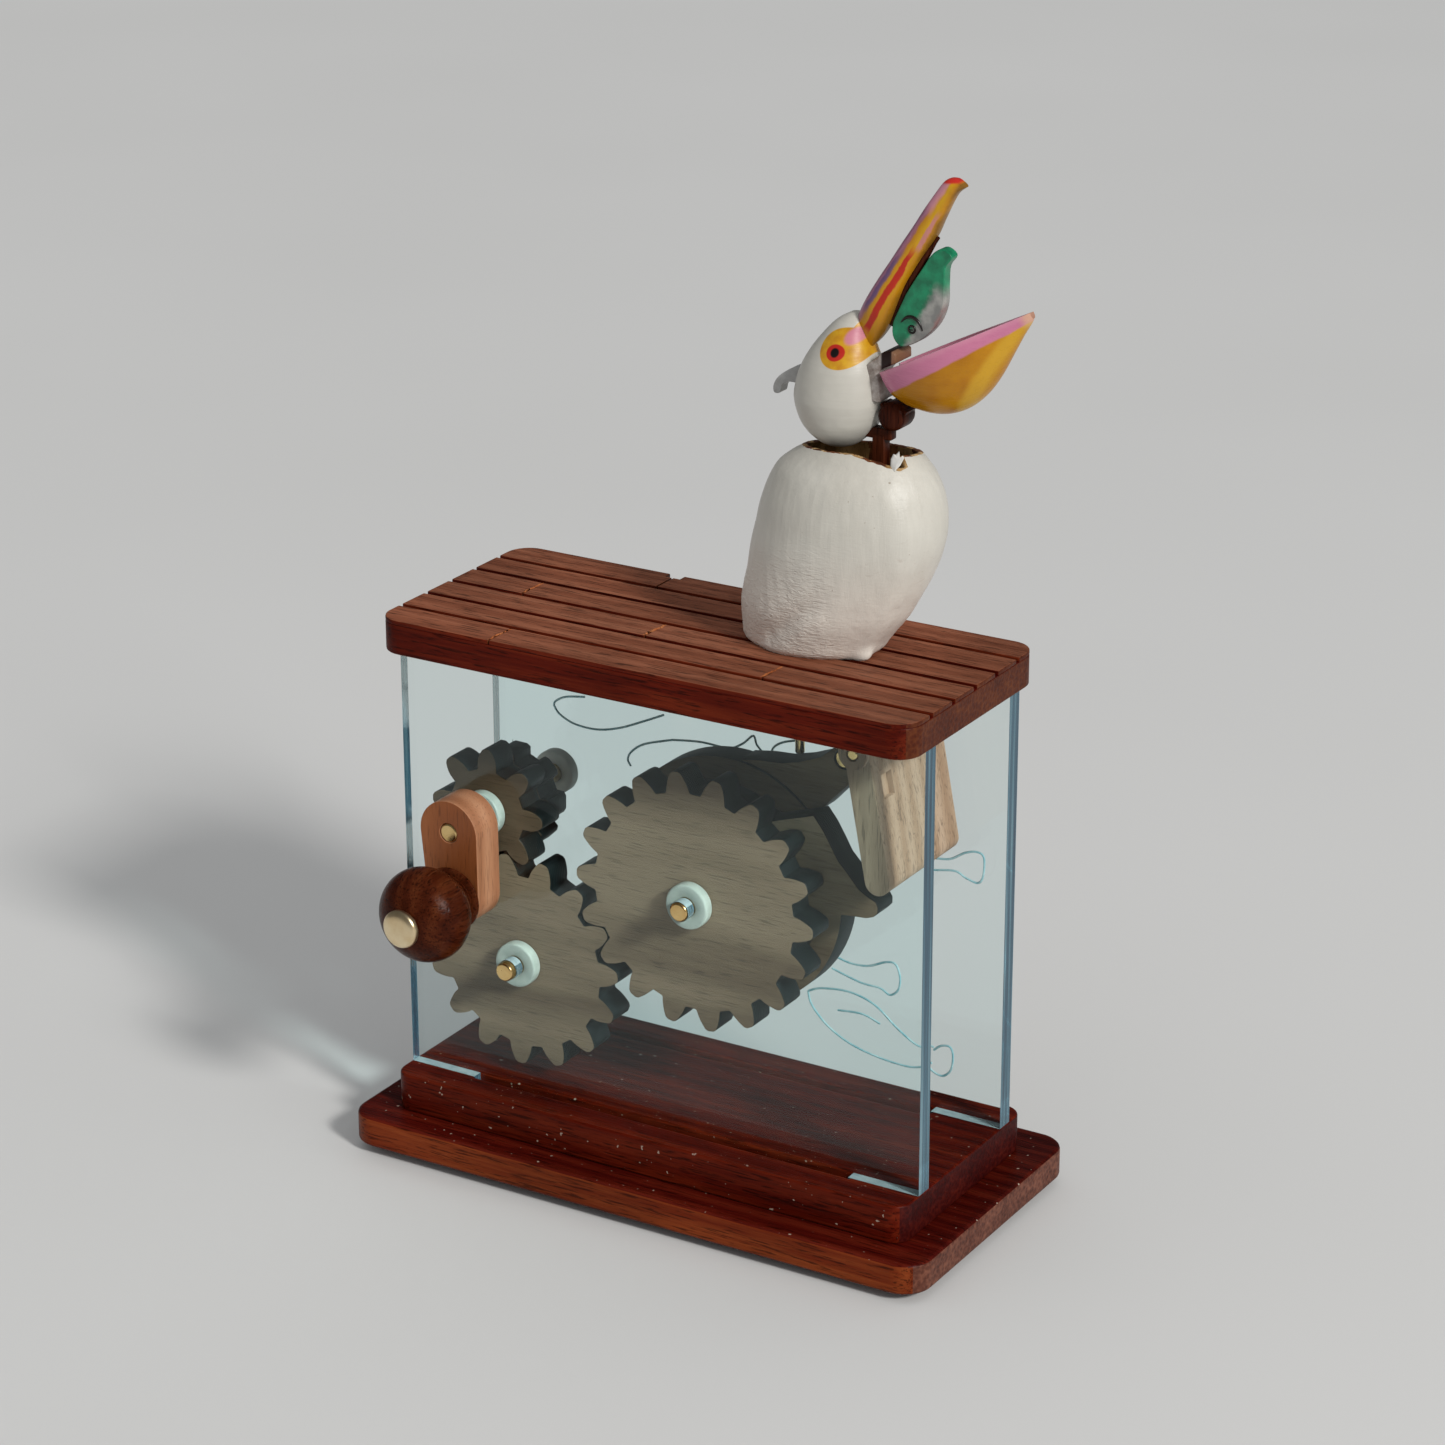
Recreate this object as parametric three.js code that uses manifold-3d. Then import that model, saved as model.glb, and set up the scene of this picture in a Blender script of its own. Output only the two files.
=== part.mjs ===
// Hand-cranked pelican automaton: a wooden base, two clear side plates with a gear train and cams
// between them, a plank deck, and a carved pelican whose head and lower beak move.
// Millimetres, +Z up. Outlines of everything that turns are drawn in the X-Z plane and made thick in Y.
import * as THREE from 'three';
import { mergeVertices } from 'three/addons/utils/BufferGeometryUtils.js';
import Module from 'manifold-3d';

const wasm = await Module();
wasm.setup();

// ---------------------------------------------------------------- driving dimensions
const FOOT = { r: 5.5, height: 2.5, x: 70, y: 29 };
const BASE = { length: 167, width: 81.2, z0: 2.5, z1: 10.6, corner: 7.5 };
const PLINTH = { length: 149.3, width: 63.9, z0: 10.62, z1: 20.65, corner: 5 };
const PLATE = { x0: -74.1, x1: 74.6, inner: 18.65, outer: 23.6, z0: 20.7, z1: 135.9, tabHalf: 55, tabDrop: 8 };
const DECK = { length: 150, width: 65, z0: 135.93, z1: 144.86, corner: 6.3, planks: 6, groove: 1.5, grooveDeep: 0.9 };
const DECK_NOTCH = { x: -27.5, width: 4.2, reach: 2.4 };

const MODULE_MM = 3.5;
const PRESSURE_ANGLE = THREE.MathUtils.degToRad(27);
const BACKLASH = 0.5;
const ADDENDUM = 2.5;
const DEDENDUM = 2.9;
const CAM_AXIS = { x: 7.0, z: 80.5 };
const CAM_TEETH = 18;
const IDLER_TEETH = 15;
const PINION_TEETH = 8;
const CAM_TO_IDLER_DEG = 208.2;
const IDLER_TO_PINION_DEG = 103.9;
const CAM_TOOTH_DEG = -1.5;
const PINION_REAR_TIP_R = 13.6;
const FINGER_TIP_R = 47.6;
const DISC_R = 32.7;

const SHAFT_R = 2.5;
const SHAFT_FIT = 0.15;
const GAP = 0.3;
const GEAR_Y = [-15, -7.15];
const FINGER_CAM_Y = [-6.85, 0.85];
const DISC_CAM_Y = [1.15, 9];
const SPACER_R = 5.9;
const SPACER_LONG = 3.3;

const CRANK = { armY: [-34.3, -24.6], reach: 17.2, hubR: 8.4, knobEndR: 7.6, leanDeg: 3 };
const KNOB = { r: 12.2, centreY: -46.4, neckR: 6.4, boreR: 2.2 };
const KNOB_PIN = { r: 2.0, headR: 4.9, headY: -58.4 };

const LEVER = { pinX: 39.9, pinZ: 119.4, y: [1.25, 9] };
const PADDLE = { pinX: 53.2, pinZ: 129.8, thick: 6.7, reach: 36, half: 16.5, leanDeg: 10.7, pinR: 1.5 };

const BIRD_Y = 8;
const BODY_BASE = { x: 26.4, z: 144.9 };
const NECK_PIVOT = { x: 44.4, z: 185 };
const JAW_PIVOT = { x: 47.6, z: 204.9 };
const HEAD_ROD = { x: 25, y: 6, r: 1.2, z0: 116.6, z1: 181.4 };
const JAW_ROD = { x: 34, y: 13.2, r: 1.2, z0: 124.5, z1: 186 };

// The crank's pin head reaches further forward than the base reaches back: this centres the box.
const FRONT_Y = KNOB_PIN.headY;
const CASE_SHIFT_Y = -(FRONT_Y + BASE.width / 2) / 2;

// ---------------------------------------------------------------- geometry helpers
const rad = THREE.MathUtils.degToRad;

function polar(radius, degrees) {
  return new THREE.Vector2(radius * Math.cos(rad(degrees)), radius * Math.sin(rad(degrees)));
}

function toSolid(geometry) {
  const bare = geometry.clone();
  bare.deleteAttribute('normal');
  bare.deleteAttribute('uv');
  const merged = mergeVertices(bare, 1e-4);
  return new wasm.Manifold(new wasm.Mesh({
    numProp: 3,
    vertProperties: new Float32Array(merged.attributes.position.array),
    triVerts: new Uint32Array(merged.index.array),
  }));
}

function fromSolid(solid) {
  const mesh = solid.getMesh();
  const geometry = new THREE.BufferGeometry();
  geometry.setAttribute('position', new THREE.BufferAttribute(new Float32Array(mesh.vertProperties), 3));
  geometry.setIndex(new THREE.BufferAttribute(new Uint32Array(mesh.triVerts), 1));
  geometry.computeVertexNormals();
  return geometry;
}

function cut(geometry, ...tools) {
  let solid = toSolid(geometry);
  for (const tool of tools) {
    solid = solid.subtract(toSolid(tool));
  }
  return fromSolid(solid);
}

function join(geometry, ...more) {
  let solid = toSolid(geometry);
  for (const piece of more) {
    solid = solid.add(toSolid(piece));
  }
  return fromSolid(solid);
}

// An outline in X-Z, made thick from y0 to y1.
function slab(shape, [y0, y1], curveSegments = 12) {
  const geometry = new THREE.ExtrudeGeometry(shape, { depth: y1 - y0, bevelEnabled: false, curveSegments });
  return geometry.rotateX(Math.PI / 2).translate(0, y1, 0);
}

// An outline in X-Y, made thick from z0 to z1.
function board(shape, z0, z1, curveSegments = 6) {
  const geometry = new THREE.ExtrudeGeometry(shape, { depth: z1 - z0, bevelEnabled: false, curveSegments });
  return geometry.translate(0, 0, z0);
}

function box(x0, x1, y0, y1, z0, z1) {
  const geometry = new THREE.BoxGeometry(x1 - x0, y1 - y0, z1 - z0);
  return geometry.translate((x0 + x1) / 2, (y0 + y1) / 2, (z0 + z1) / 2);
}

function roundedRect(length, width, corner) {
  const shape = new THREE.Shape();
  const x = length / 2 - corner;
  const y = width / 2 - corner;
  shape.absarc(x, y, corner, 0, Math.PI / 2);
  shape.absarc(-x, y, corner, Math.PI / 2, Math.PI);
  shape.absarc(-x, -y, corner, Math.PI, Math.PI * 1.5);
  shape.absarc(x, -y, corner, Math.PI * 1.5, Math.PI * 2);
  shape.closePath();
  return shape;
}

function addHole(shape, x, y, radius) {
  const hole = new THREE.Path();
  hole.absarc(x, y, radius, 0, Math.PI * 2, true);
  shape.holes.push(hole);
}

// A turned piece on the Y axis: profile points are [radius, y], from one end to the other.
function turned(profile, segments = 24) {
  const points = profile.map(([r, y]) => new THREE.Vector2(r, y));
  return new THREE.LatheGeometry(points, segments);
}

// A round bar along Y with chamfered ends.
function bar(radius, y0, y1, segments = 20, chamfer = 0.4) {
  return turned([[0, y0], [radius - chamfer, y0], [radius, y0 + chamfer],
    [radius, y1 - chamfer], [radius - chamfer, y1], [0, y1]], segments);
}

// A ring along Y: the profile closes on itself.
function ring(innerR, outerR, y0, y1, segments = 24) {
  return turned([[innerR, y0], [outerR, y0], [outerR, y1], [innerR, y1], [innerR, y0]], segments);
}

function uprightBar(radius, x, y, z0, z1, segments = 12) {
  return bar(radius, z0, z1, segments, 0.3).rotateX(Math.PI / 2).translate(x, y, 0);
}

// Joins closed rings of equal point counts into one closed skin with flat ends.
function loft(rings) {
  const count = rings[0].length;
  const points = rings.flat();
  const index = [];
  for (let i = 0; i + 1 < rings.length; i += 1) {
    for (let j = 0; j < count; j += 1) {
      const a = i * count + j;
      const b = i * count + (j + 1) % count;
      index.push(a, b, b + count, a, b + count, a + count);
    }
  }
  const last = (rings.length - 1) * count;
  for (let j = 1; j + 1 < count; j += 1) {
    index.push(0, j + 1, j);
    index.push(last, last + j, last + j + 1);
  }
  const geometry = new THREE.BufferGeometry();
  geometry.setAttribute('position', new THREE.Float32BufferAttribute(points.flatMap((p) => [p.x, p.y, p.z]), 3));
  geometry.setIndex(index);
  return outward(geometry);
}

// Turns the faces over where a skin was wound inwards.
function outward(geometry) {
  const position = geometry.attributes.position;
  const index = geometry.index.array;
  const [a, b, c] = [new THREE.Vector3(), new THREE.Vector3(), new THREE.Vector3()];
  let volume = 0;
  for (let i = 0; i < index.length; i += 3) {
    a.fromBufferAttribute(position, index[i]);
    b.fromBufferAttribute(position, index[i + 1]);
    c.fromBufferAttribute(position, index[i + 2]);
    volume += a.dot(b.cross(c));
  }
  if (volume < 0) {
    geometry.setIndex(Array.from(index).reverse());
  }
  geometry.computeVertexNormals();
  return geometry;
}

function spline(points, closed = false) {
  return new THREE.SplineCurve(points.map(([x, y]) => new THREE.Vector2(x, y)), closed);
}

// A closed outline through hand-chosen points, rounded between them.
function softOutline(points, steps) {
  const curve = new THREE.CatmullRomCurve3(points.map(([x, z]) => new THREE.Vector3(x, z, 0)), true);
  return new THREE.Shape(curve.getPoints(steps).slice(0, -1).map((p) => new THREE.Vector2(p.x, p.y)));
}

// ---------------------------------------------------------------- gears
function involute(angle) {
  return Math.tan(angle) - angle;
}

// Spur gear outline with involute flanks and slightly rounded tips.
function gearShape(teeth, firstToothDeg, tipR = MODULE_MM * teeth / 2 + ADDENDUM, flankSteps = 4) {
  const pitchR = MODULE_MM * teeth / 2;
  const baseR = pitchR * Math.cos(PRESSURE_ANGLE);
  const rootR = pitchR - DEDENDUM;
  const halfAtPitch = Math.PI / 2 / teeth - BACKLASH / 4 / pitchR;
  const startR = Math.max(baseR, rootR + 0.3);
  const halfAt = (r) => halfAtPitch + involute(PRESSURE_ANGLE) - involute(Math.acos(Math.min(1, baseR / r)));
  const shape = new THREE.Shape();
  const outline = [];
  for (let tooth = 0; tooth < teeth; tooth += 1) {
    const middle = rad(firstToothDeg) + tooth * 2 * Math.PI / teeth;
    const flank = [[rootR, halfAt(startR) + 0.35 / rootR]];
    for (let i = 0; i <= flankSteps; i += 1) {
      const r = startR + (tipR - 0.45 - startR) * i / flankSteps;
      flank.push([r, halfAt(r)]);
    }
    flank.push([tipR, Math.max(halfAt(tipR) * 0.62, 0.01)]);
    const left = flank.map(([r, half]) => [r, middle - half]);
    const right = flank.map(([r, half]) => [r, middle + half]).reverse();
    outline.push(...left, ...right);
  }
  shape.setFromPoints(outline.map(([r, a]) => new THREE.Vector2(r * Math.cos(a), r * Math.sin(a))));
  addHole(shape, 0, 0, SHAFT_R + SHAFT_FIT);
  return shape;
}

// The angle of a tooth on the next gear, so that it sits in a gap of the gear before it.
function meshedToothDeg(teeth, toothDeg, nextTeeth, directionDeg) {
  const pitch = 360 / teeth;
  const gap = toothDeg + pitch / 2;
  const nearest = gap + Math.round((directionDeg - gap) / pitch) * pitch;
  return directionDeg + 180 - (nearest - directionDeg) * teeth / nextTeeth;
}

function axisFrom(start, teethA, teethB, degrees) {
  const step = polar(MODULE_MM * (teethA + teethB) / 2, degrees);
  return { x: start.x + step.x, z: start.z + step.y };
}

const IDLER_AXIS = axisFrom(CAM_AXIS, CAM_TEETH, IDLER_TEETH, CAM_TO_IDLER_DEG);
const CRANK_AXIS = axisFrom(IDLER_AXIS, IDLER_TEETH, PINION_TEETH, IDLER_TO_PINION_DEG);
const IDLER_TOOTH_DEG = meshedToothDeg(CAM_TEETH, CAM_TOOTH_DEG, IDLER_TEETH, CAM_TO_IDLER_DEG);
const PINION_TOOTH_DEG = meshedToothDeg(IDLER_TEETH, IDLER_TOOTH_DEG, PINION_TEETH, IDLER_TO_PINION_DEG);

// ---------------------------------------------------------------- cams
// A lobe that rises to a rounded finger, on a round hub.
function fingerCamShape() {
  const hubR = 27;
  const lobeR = 39.3;
  const rise = [[42, lobeR], [36, lobeR], [30, 39.2], [24, 39.4], [18, 41.2], [13, 43.0], [10.5, 45.2]];
  const tip = [[9, 47.1], [7.6, FINGER_TIP_R], [5.6, 47.4], [4.2, 46.2], [3.4, 44.2]];
  const drop = [[3.2, 38], [2.2, 33], [-4, 29], [-14, hubR]];
  const hub = [];
  for (let a = -30; a >= -312; a -= 12) {
    hub.push([a, hubR]);
  }
  const points = [...rise, ...tip, ...drop, ...hub];
  const shape = new THREE.Shape(points.reverse().map(([a, r]) => polar(r, a)));
  addHole(shape, 0, 0, SHAFT_R + SHAFT_FIT);
  return shape;
}

// A round disc with one drop, where the lever falls and lifts again.
function discCamShape() {
  const shape = new THREE.Shape();
  const dropFrom = 176;
  const dropTo = 214;
  shape.absarc(0, 0, DISC_R, rad(dropTo), rad(360 + dropFrom));
  for (const [a, r] of [[178, 27.4], [186, 26.2], [196, 27.4], [206, 30.4]]) {
    const p = polar(r, a);
    shape.lineTo(p.x, p.y);
  }
  shape.closePath();
  addHole(shape, 0, 0, SHAFT_R + SHAFT_FIT);
  return shape;
}

// ---------------------------------------------------------------- lever and paddle
// The lever lies on the disc's rim from its tip to the knee, and turns on its pin at the right.
function leverShape() {
  const ridingR = DISC_R + 0.5;
  const shape = new THREE.Shape();
  const arc = [];
  for (let a = 84; a >= 44; a -= 5) {
    const p = polar(ridingR, a);
    arc.push([CAM_AXIS.x + p.x, CAM_AXIS.z + p.y]);
  }
  const knee = [[33.6, 104.9], [37.2, 108.8], [41.2, 112.9], [43.6, 115.8]];
  const top = [[43.9, 119.4], [42.8, 121.9], [39.9, 123.2], [36.8, 121.6], [33.3, 118.6], [27.8, 116.4],
    [22.2, 114.9], [16.5, 114.5]];
  shape.setFromPoints([...arc, ...knee, ...top].map(([x, z]) => new THREE.Vector2(x, z)));
  addHole(shape, LEVER.pinX, LEVER.pinZ, SHAFT_R + SHAFT_FIT);
  return shape;
}

function paddleGeometry() {
  const half = PADDLE.thick / 2;
  const shape = new THREE.Shape();
  shape.absarc(0, 0, half, 0, Math.PI);
  shape.absarc(0, -PADDLE.reach + half, half, Math.PI, 2 * Math.PI);
  shape.closePath();
  addHole(shape, 0, 0, PADDLE.pinR + SHAFT_FIT);
  const blank = slab(shape, [-PADDLE.half, PADDLE.half], 8);
  const wireNotch = box(half - 1.6, half + 1, -12.5, -7.5, -13, -7);
  return cut(blank, wireNotch).rotateY(-rad(PADDLE.leanDeg)).translate(PADDLE.pinX, 0, PADDLE.pinZ);
}

// ---------------------------------------------------------------- case
function plateGeometry(y0, y1, bores) {
  const shape = new THREE.Shape([[PLATE.x0, PLATE.z0], [-PLATE.tabHalf, PLATE.z0],
    [-PLATE.tabHalf, PLATE.z0 - PLATE.tabDrop], [PLATE.tabHalf, PLATE.z0 - PLATE.tabDrop],
    [PLATE.tabHalf, PLATE.z0], [PLATE.x1, PLATE.z0], [PLATE.x1, PLATE.z1],
    [PLATE.x0, PLATE.z1]].map(([x, z]) => new THREE.Vector2(x, z)));
  for (const axis of bores) {
    addHole(shape, axis.x, axis.z, SHAFT_R + SHAFT_FIT);
  }
  return slab(shape, [y0, y1], 10);
}

function plinthGeometry() {
  const blank = board(roundedRect(PLINTH.length, PLINTH.width, PLINTH.corner), PLINTH.z0, PLINTH.z1);
  const slots = [-1, 1].map((side) => {
    const middle = side * (PLATE.inner + PLATE.outer) / 2;
    const half = (PLATE.outer - PLATE.inner) / 2 + SHAFT_FIT;
    return box(-PLATE.tabHalf - GAP, PLATE.tabHalf + GAP, middle - half, middle + half,
      PLATE.z0 - PLATE.tabDrop - GAP, PLINTH.z1 + 1);
  });
  return cut(blank, ...slots);
}

function deckGeometry() {
  const outline = roundedRect(DECK.length, DECK.width, DECK.corner);
  addHole(outline, HEAD_ROD.x, HEAD_ROD.y, HEAD_ROD.r + 0.7);
  addHole(outline, JAW_ROD.x, JAW_ROD.y, JAW_ROD.r + 0.7);
  const blank = board(outline, DECK.z0, DECK.z1);
  const plank = DECK.width / DECK.planks;
  const tools = [];
  for (let i = 1; i < DECK.planks; i += 1) {
    const y = -DECK.width / 2 + i * plank;
    tools.push(box(-DECK.length, DECK.length, y - DECK.groove / 2, y + DECK.groove / 2,
      DECK.z1 - DECK.grooveDeep, DECK.z1 + 1));
  }
  tools.push(box(DECK_NOTCH.x - DECK_NOTCH.width / 2, DECK_NOTCH.x + DECK_NOTCH.width / 2,
    DECK.width / 2 - DECK_NOTCH.reach, DECK.width / 2 + 1, DECK.z1 - DECK.grooveDeep, DECK.z1 + 1));
  return cut(blank, ...tools);
}

// ---------------------------------------------------------------- crank
function crankArmGeometry() {
  const shape = new THREE.Shape();
  shape.absarc(0, 0, CRANK.hubR, rad(-4), rad(184));
  shape.absarc(0, -CRANK.reach, CRANK.knobEndR, rad(184), rad(356));
  shape.closePath();
  addHole(shape, 0, 0, SHAFT_R + SHAFT_FIT);
  addHole(shape, 0, -CRANK.reach, KNOB_PIN.r + SHAFT_FIT);
  return slab(shape, CRANK.armY, 12).rotateY(-rad(CRANK.leanDeg)).translate(CRANK_AXIS.x, 0, CRANK_AXIS.z);
}

const KNOB_AXIS = {
  x: CRANK_AXIS.x + CRANK.reach * Math.sin(rad(CRANK.leanDeg)),
  z: CRANK_AXIS.z - CRANK.reach * Math.cos(rad(CRANK.leanDeg)),
};

// A turned ball with a ringed neck against the arm.
function knobGeometry() {
  const y = KNOB.centreY;
  const back = CRANK.armY[0] - GAP;
  const profile = [[KNOB.boreR, back], [KNOB.neckR + 1.4, back], [KNOB.neckR + 1.9, back - 0.6],
    [KNOB.neckR + 1.4, back - 1.2], [KNOB.neckR, back - 1.5]];
  const frontDeg = -66;
  for (let a = 54; a >= frontDeg; a -= 10) {
    profile.push([KNOB.r * Math.cos(rad(a)), y + KNOB.r * 0.8 * Math.sin(rad(a))]);
  }
  profile.push([KNOB.boreR, y - KNOB.r * 0.8], [KNOB.boreR, back]);
  return turned(profile.reverse(), 28);
}

function knobPinGeometry() {
  const { r, headR, headY } = KNOB_PIN;
  return turned([[0, headY], [headR - 1.6, headY + 0.25], [headR, headY + 1.2], [headR, headY + 2.0],
    [r, headY + 2.0], [r, CRANK.armY[1] + 0.6], [0, CRANK.armY[1] + 0.6]], 20);
}

// ---------------------------------------------------------------- pelican
// Height, half-width across and how far the middle leans to +X. The carving is flatter from front to back.
const BODY_SECTIONS = [[0, 17.0, 0], [4.2, 19.5, 1.2], [9.7, 21.7, 3.3], [14, 22.6, 4.9], [19.2, 23.4, 6.9],
  [25.8, 24.2, 8.9], [31, 24.2, 10.2], [36.2, 23.7, 10.9], [41.2, 22.3, 11.4], [45, 20.5, 11.6],
  [47.5, 18.3, 12.2], [49.5, 16.0, 13.0], [51.2, 13.8, 13.5], [53, 11.2, 13.8], [54.6, 8.6, 14]];
const BODY_DEPTH = 0.74;
// The same for the egg-shaped head, from its chin at this height.
const HEAD_BASE = { x: 33.2, z: 195.3 };
const HEAD_SECTIONS = [[0, 1.0, 0], [0.9, 4.2, 0], [2.7, 6.7, 0], [4.9, 8.7, 0], [7.4, 10.1, 0.1],
  [11.1, 11.2, 0.2], [13.6, 11.3, 0.3], [17.2, 10.8, 0.5], [21, 9.6, 0.9], [24.7, 7.8, 1.4],
  [28.5, 5.6, 2.3], [31.5, 3.6, 3.4], [33.4, 1.2, 4.4]];
const HEAD_DEPTH = 0.94;

// Rings of a carved egg shape: sections give its form, depth its front-to-back share, grow its offset.
function carvedRings(base, sections, depth, grow, steps, sides) {
  const radiusCurve = spline(sections.map(([z, r]) => [z, r]));
  const leanCurve = spline(sections.map(([z, , lean]) => [z, lean]));
  const rings = [];
  for (let i = 0; i <= steps; i += 1) {
    const { x: height, y: radius } = radiusCurve.getPoint(i / steps);
    const lean = leanCurve.getPoint(i / steps).y;
    const points = [];
    for (let j = 0; j < sides; j += 1) {
      const a = 2 * Math.PI * j / sides;
      points.push(new THREE.Vector3(base.x + lean + (radius + grow) * Math.cos(a),
        BIRD_Y + (radius * depth + grow) * Math.sin(a), base.z + height));
    }
    rings.push(points);
  }
  return rings;
}

function bodyGeometry() {
  const wall = 4.2;
  const outer = loft(carvedRings(BODY_BASE, BODY_SECTIONS, BODY_DEPTH, 0, 18, 40));
  const innerRings = carvedRings(BODY_BASE, BODY_SECTIONS, BODY_DEPTH, -wall, 14, 32);
  innerRings[0] = innerRings[0].map((p) => p.clone().setZ(p.z - 1));
  innerRings[innerRings.length - 1] = innerRings.at(-1).map((p) => p.clone().setZ(p.z + 1));
  const inner = loft(innerRings);
  const rim = { x: 39.7, z: 195.2, riseDeg: 3, frontDeg: 8.5 };
  const rimCut = new THREE.BoxGeometry(80, 80, 30).translate(0, 0, 15).rotateX(-rad(rim.frontDeg))
    .rotateY(-rad(rim.riseDeg)).translate(rim.x, BIRD_Y, rim.z);
  const chipOutline = [[41.5, 200], [41.5, 197.0], [47.4, 195.6], [52.2, 193.8], [55.2, 196.4], [56, 200]];
  const chip = slab(new THREE.Shape(chipOutline.map(([x, z]) => new THREE.Vector2(x, z))),
    [BIRD_Y - 16, BIRD_Y - 5]);
  const pinBore = bar(1.6, BIRD_Y - 14.2, BIRD_Y + 14.2, 12, 0.1).translate(NECK_PIVOT.x, 0, NECK_PIVOT.z);
  return cut(outer, inner, rimCut, chip, pinBore);
}

// Egg-shaped head, with a flat cut where the cheek block lies.
function headBlank(grow = 0) {
  return loft(carvedRings(HEAD_BASE, HEAD_SECTIONS, HEAD_DEPTH, grow, 16, 28));
}

function headGeometry() {
  const blockPocket = box(42.0, 50, BIRD_Y - 4.3, BIRD_Y + 4.3, 208.4, 222);
  const postPocket = box(NECK_PIVOT.x - 1.8, NECK_PIVOT.x + 1.8, BIRD_Y - 1.9, BIRD_Y + 1.9, 189, 200.2);
  return cut(headBlank(), blockPocket, postPocket, upperBeakGeometry(GAP));
}

function crestGeometry() {
  const outline = [[25.6, 213.6], [22.6, 213.6], [19.4, 212.0], [16.8, 209.8], [15.8, 207.6], [16.1, 206.2],
    [17.6, 206.3], [18.2, 208.2], [19.8, 209.3], [22.4, 209.4], [25.6, 209.0]];
  const blank = slab(softOutline(outline, 36), [BIRD_Y - 1.7, BIRD_Y + 1.7]);
  return cut(blank, headBlank(GAP));
}

// Flat-sided wedge: middle line from the head to the tip, with its depth and half-thickness.
function upperBeakGeometry(grow = 0) {
  const sections = [[42.0, 224.0, 8.6, 5.0], [44.6, 230.2, 7.6, 4.8], [48.4, 237.4, 6.8, 4.3],
    [52.8, 245.4, 6.0, 3.7], [57.2, 253.0, 5.0, 3.0], [60.6, 258.2, 4.2, 2.5], [62.9, 261.0, 4.2, 2.5],
    [64.5, 262.6, 2.6, 1.6]];
  const rings = sections.map(([x, z, deep, half], i) => {
    const [ax, az] = sections[Math.max(i - 1, 0)];
    const [bx, bz] = sections[Math.min(i + 1, sections.length - 1)];
    const along = new THREE.Vector2(bx - ax, bz - az).normalize();
    const points = [];
    for (let j = 0; j < 12; j += 1) {
      const a = 2 * Math.PI * (j + 0.5) / 12;
      const c = Math.sign(Math.cos(a)) * Math.abs(Math.cos(a)) ** 0.6 * (deep / 2 + grow);
      const s = Math.sign(Math.sin(a)) * Math.abs(Math.sin(a)) ** 0.6 * (half + grow);
      points.push(new THREE.Vector3(x + along.y * c, BIRD_Y + s, z - along.x * c));
    }
    return points;
  });
  return loft(rings);
}

// Boat-shaped lower beak: rings stand across the rim line, which rises from the hinge to the tip.
const RIM = { x: 46.2, z: 215.5, ux: 0.893, uz: 0.45 };
const POUCH_SECTIONS = [[0.4, 7.2, 4.6], [3, 9.8, 6.4], [7, 12.6, 7.8], [11, 14.3, 8.6], [15, 14.9, 8.8],
  [19, 14.5, 8.4], [23.5, 13.0, 7.4], [28, 10.5, 6.0], [33, 7.2, 4.4], [38, 3.8, 2.8], [41, 1.6, 1.4]];

function pouchRings(inset, lift) {
  return POUCH_SECTIONS.map(([s, deep, half]) => {
    const x = RIM.x + RIM.ux * s;
    const z = RIM.z + RIM.uz * s;
    const points = [new THREE.Vector3(x - RIM.uz * lift, BIRD_Y + half - inset, z + RIM.ux * lift)];
    const sides = 14;
    for (let j = 0; j <= sides; j += 1) {
      const a = Math.PI * j / sides;
      const down = (deep - inset) * Math.sin(a) ** 0.8;
      points.push(new THREE.Vector3(x + RIM.uz * down, BIRD_Y + (half - inset) * Math.cos(a), z - RIM.ux * down));
    }
    points.push(new THREE.Vector3(x - RIM.uz * lift, BIRD_Y - half + inset, z + RIM.ux * lift));
    return points;
  });
}

function lowerBeakGeometry() {
  const outer = loft(pouchRings(0, 0.6));
  const hollow = loft(pouchRings(1.9, 4).slice(1, -2));
  return cut(outer, hollow);
}

function fishGeometry() {
  const outline = [[58.4, 245.8], [60.8, 247.0], [63.2, 245.4], [61.6, 242.8], [61.3, 238.6], [61.2, 233.6],
    [59.6, 229.2], [56.6, 225.6], [53.0, 223.2], [50.0, 222.4], [48.0, 224.6], [48.4, 229.4], [52.0, 236.2],
    [55.6, 241.8]];
  return cut(slab(softOutline(outline, 60), [BIRD_Y - 1.6, BIRD_Y + 1.6]), upperBeakGeometry(GAP));
}

// Neck post with a boss on the pin and a tail that the head rod lifts.
function neckGeometry() {
  const half = 1.6;
  const y = [BIRD_Y - half, BIRD_Y + half];
  const post = box(NECK_PIVOT.x - 1.5, NECK_PIVOT.x + 1.5, y[0], y[1], NECK_PIVOT.z, 199.9);
  const boss = bar(3.6, y[0], y[1], 20, 0.2).translate(NECK_PIVOT.x, 0, NECK_PIVOT.z);
  const tail = box(HEAD_ROD.x - 0.6, NECK_PIVOT.x, y[0] + 0.2, y[1] - 0.2, HEAD_ROD.z1 + 0.5, NECK_PIVOT.z + 0.4);
  const bore = bar(1.45, y[0] - 1, y[1] + 1, 12, 0.1).translate(NECK_PIVOT.x, 0, NECK_PIVOT.z);
  return cut(join(boss, post, tail), bore);
}

// A cheek block between the head and the beaks; the lower beak's bracket turns under it.
function beakBlockGeometry() {
  const outline = new THREE.Shape([[42.3, 208.7], [46.0, 208.7], [46.0, 212.0], [45.2, 215.2], [46.6, 217.0],
    [50.2, 218.8], [50.1, 221.0], [48.8, 221.6], [46.4, 220.9], [45.0, 219.4],
    [42.3, 217.4]].map(([x, z]) => new THREE.Vector2(x, z)));
  return slab(outline, [BIRD_Y - 4, BIRD_Y + 4]);
}

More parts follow.
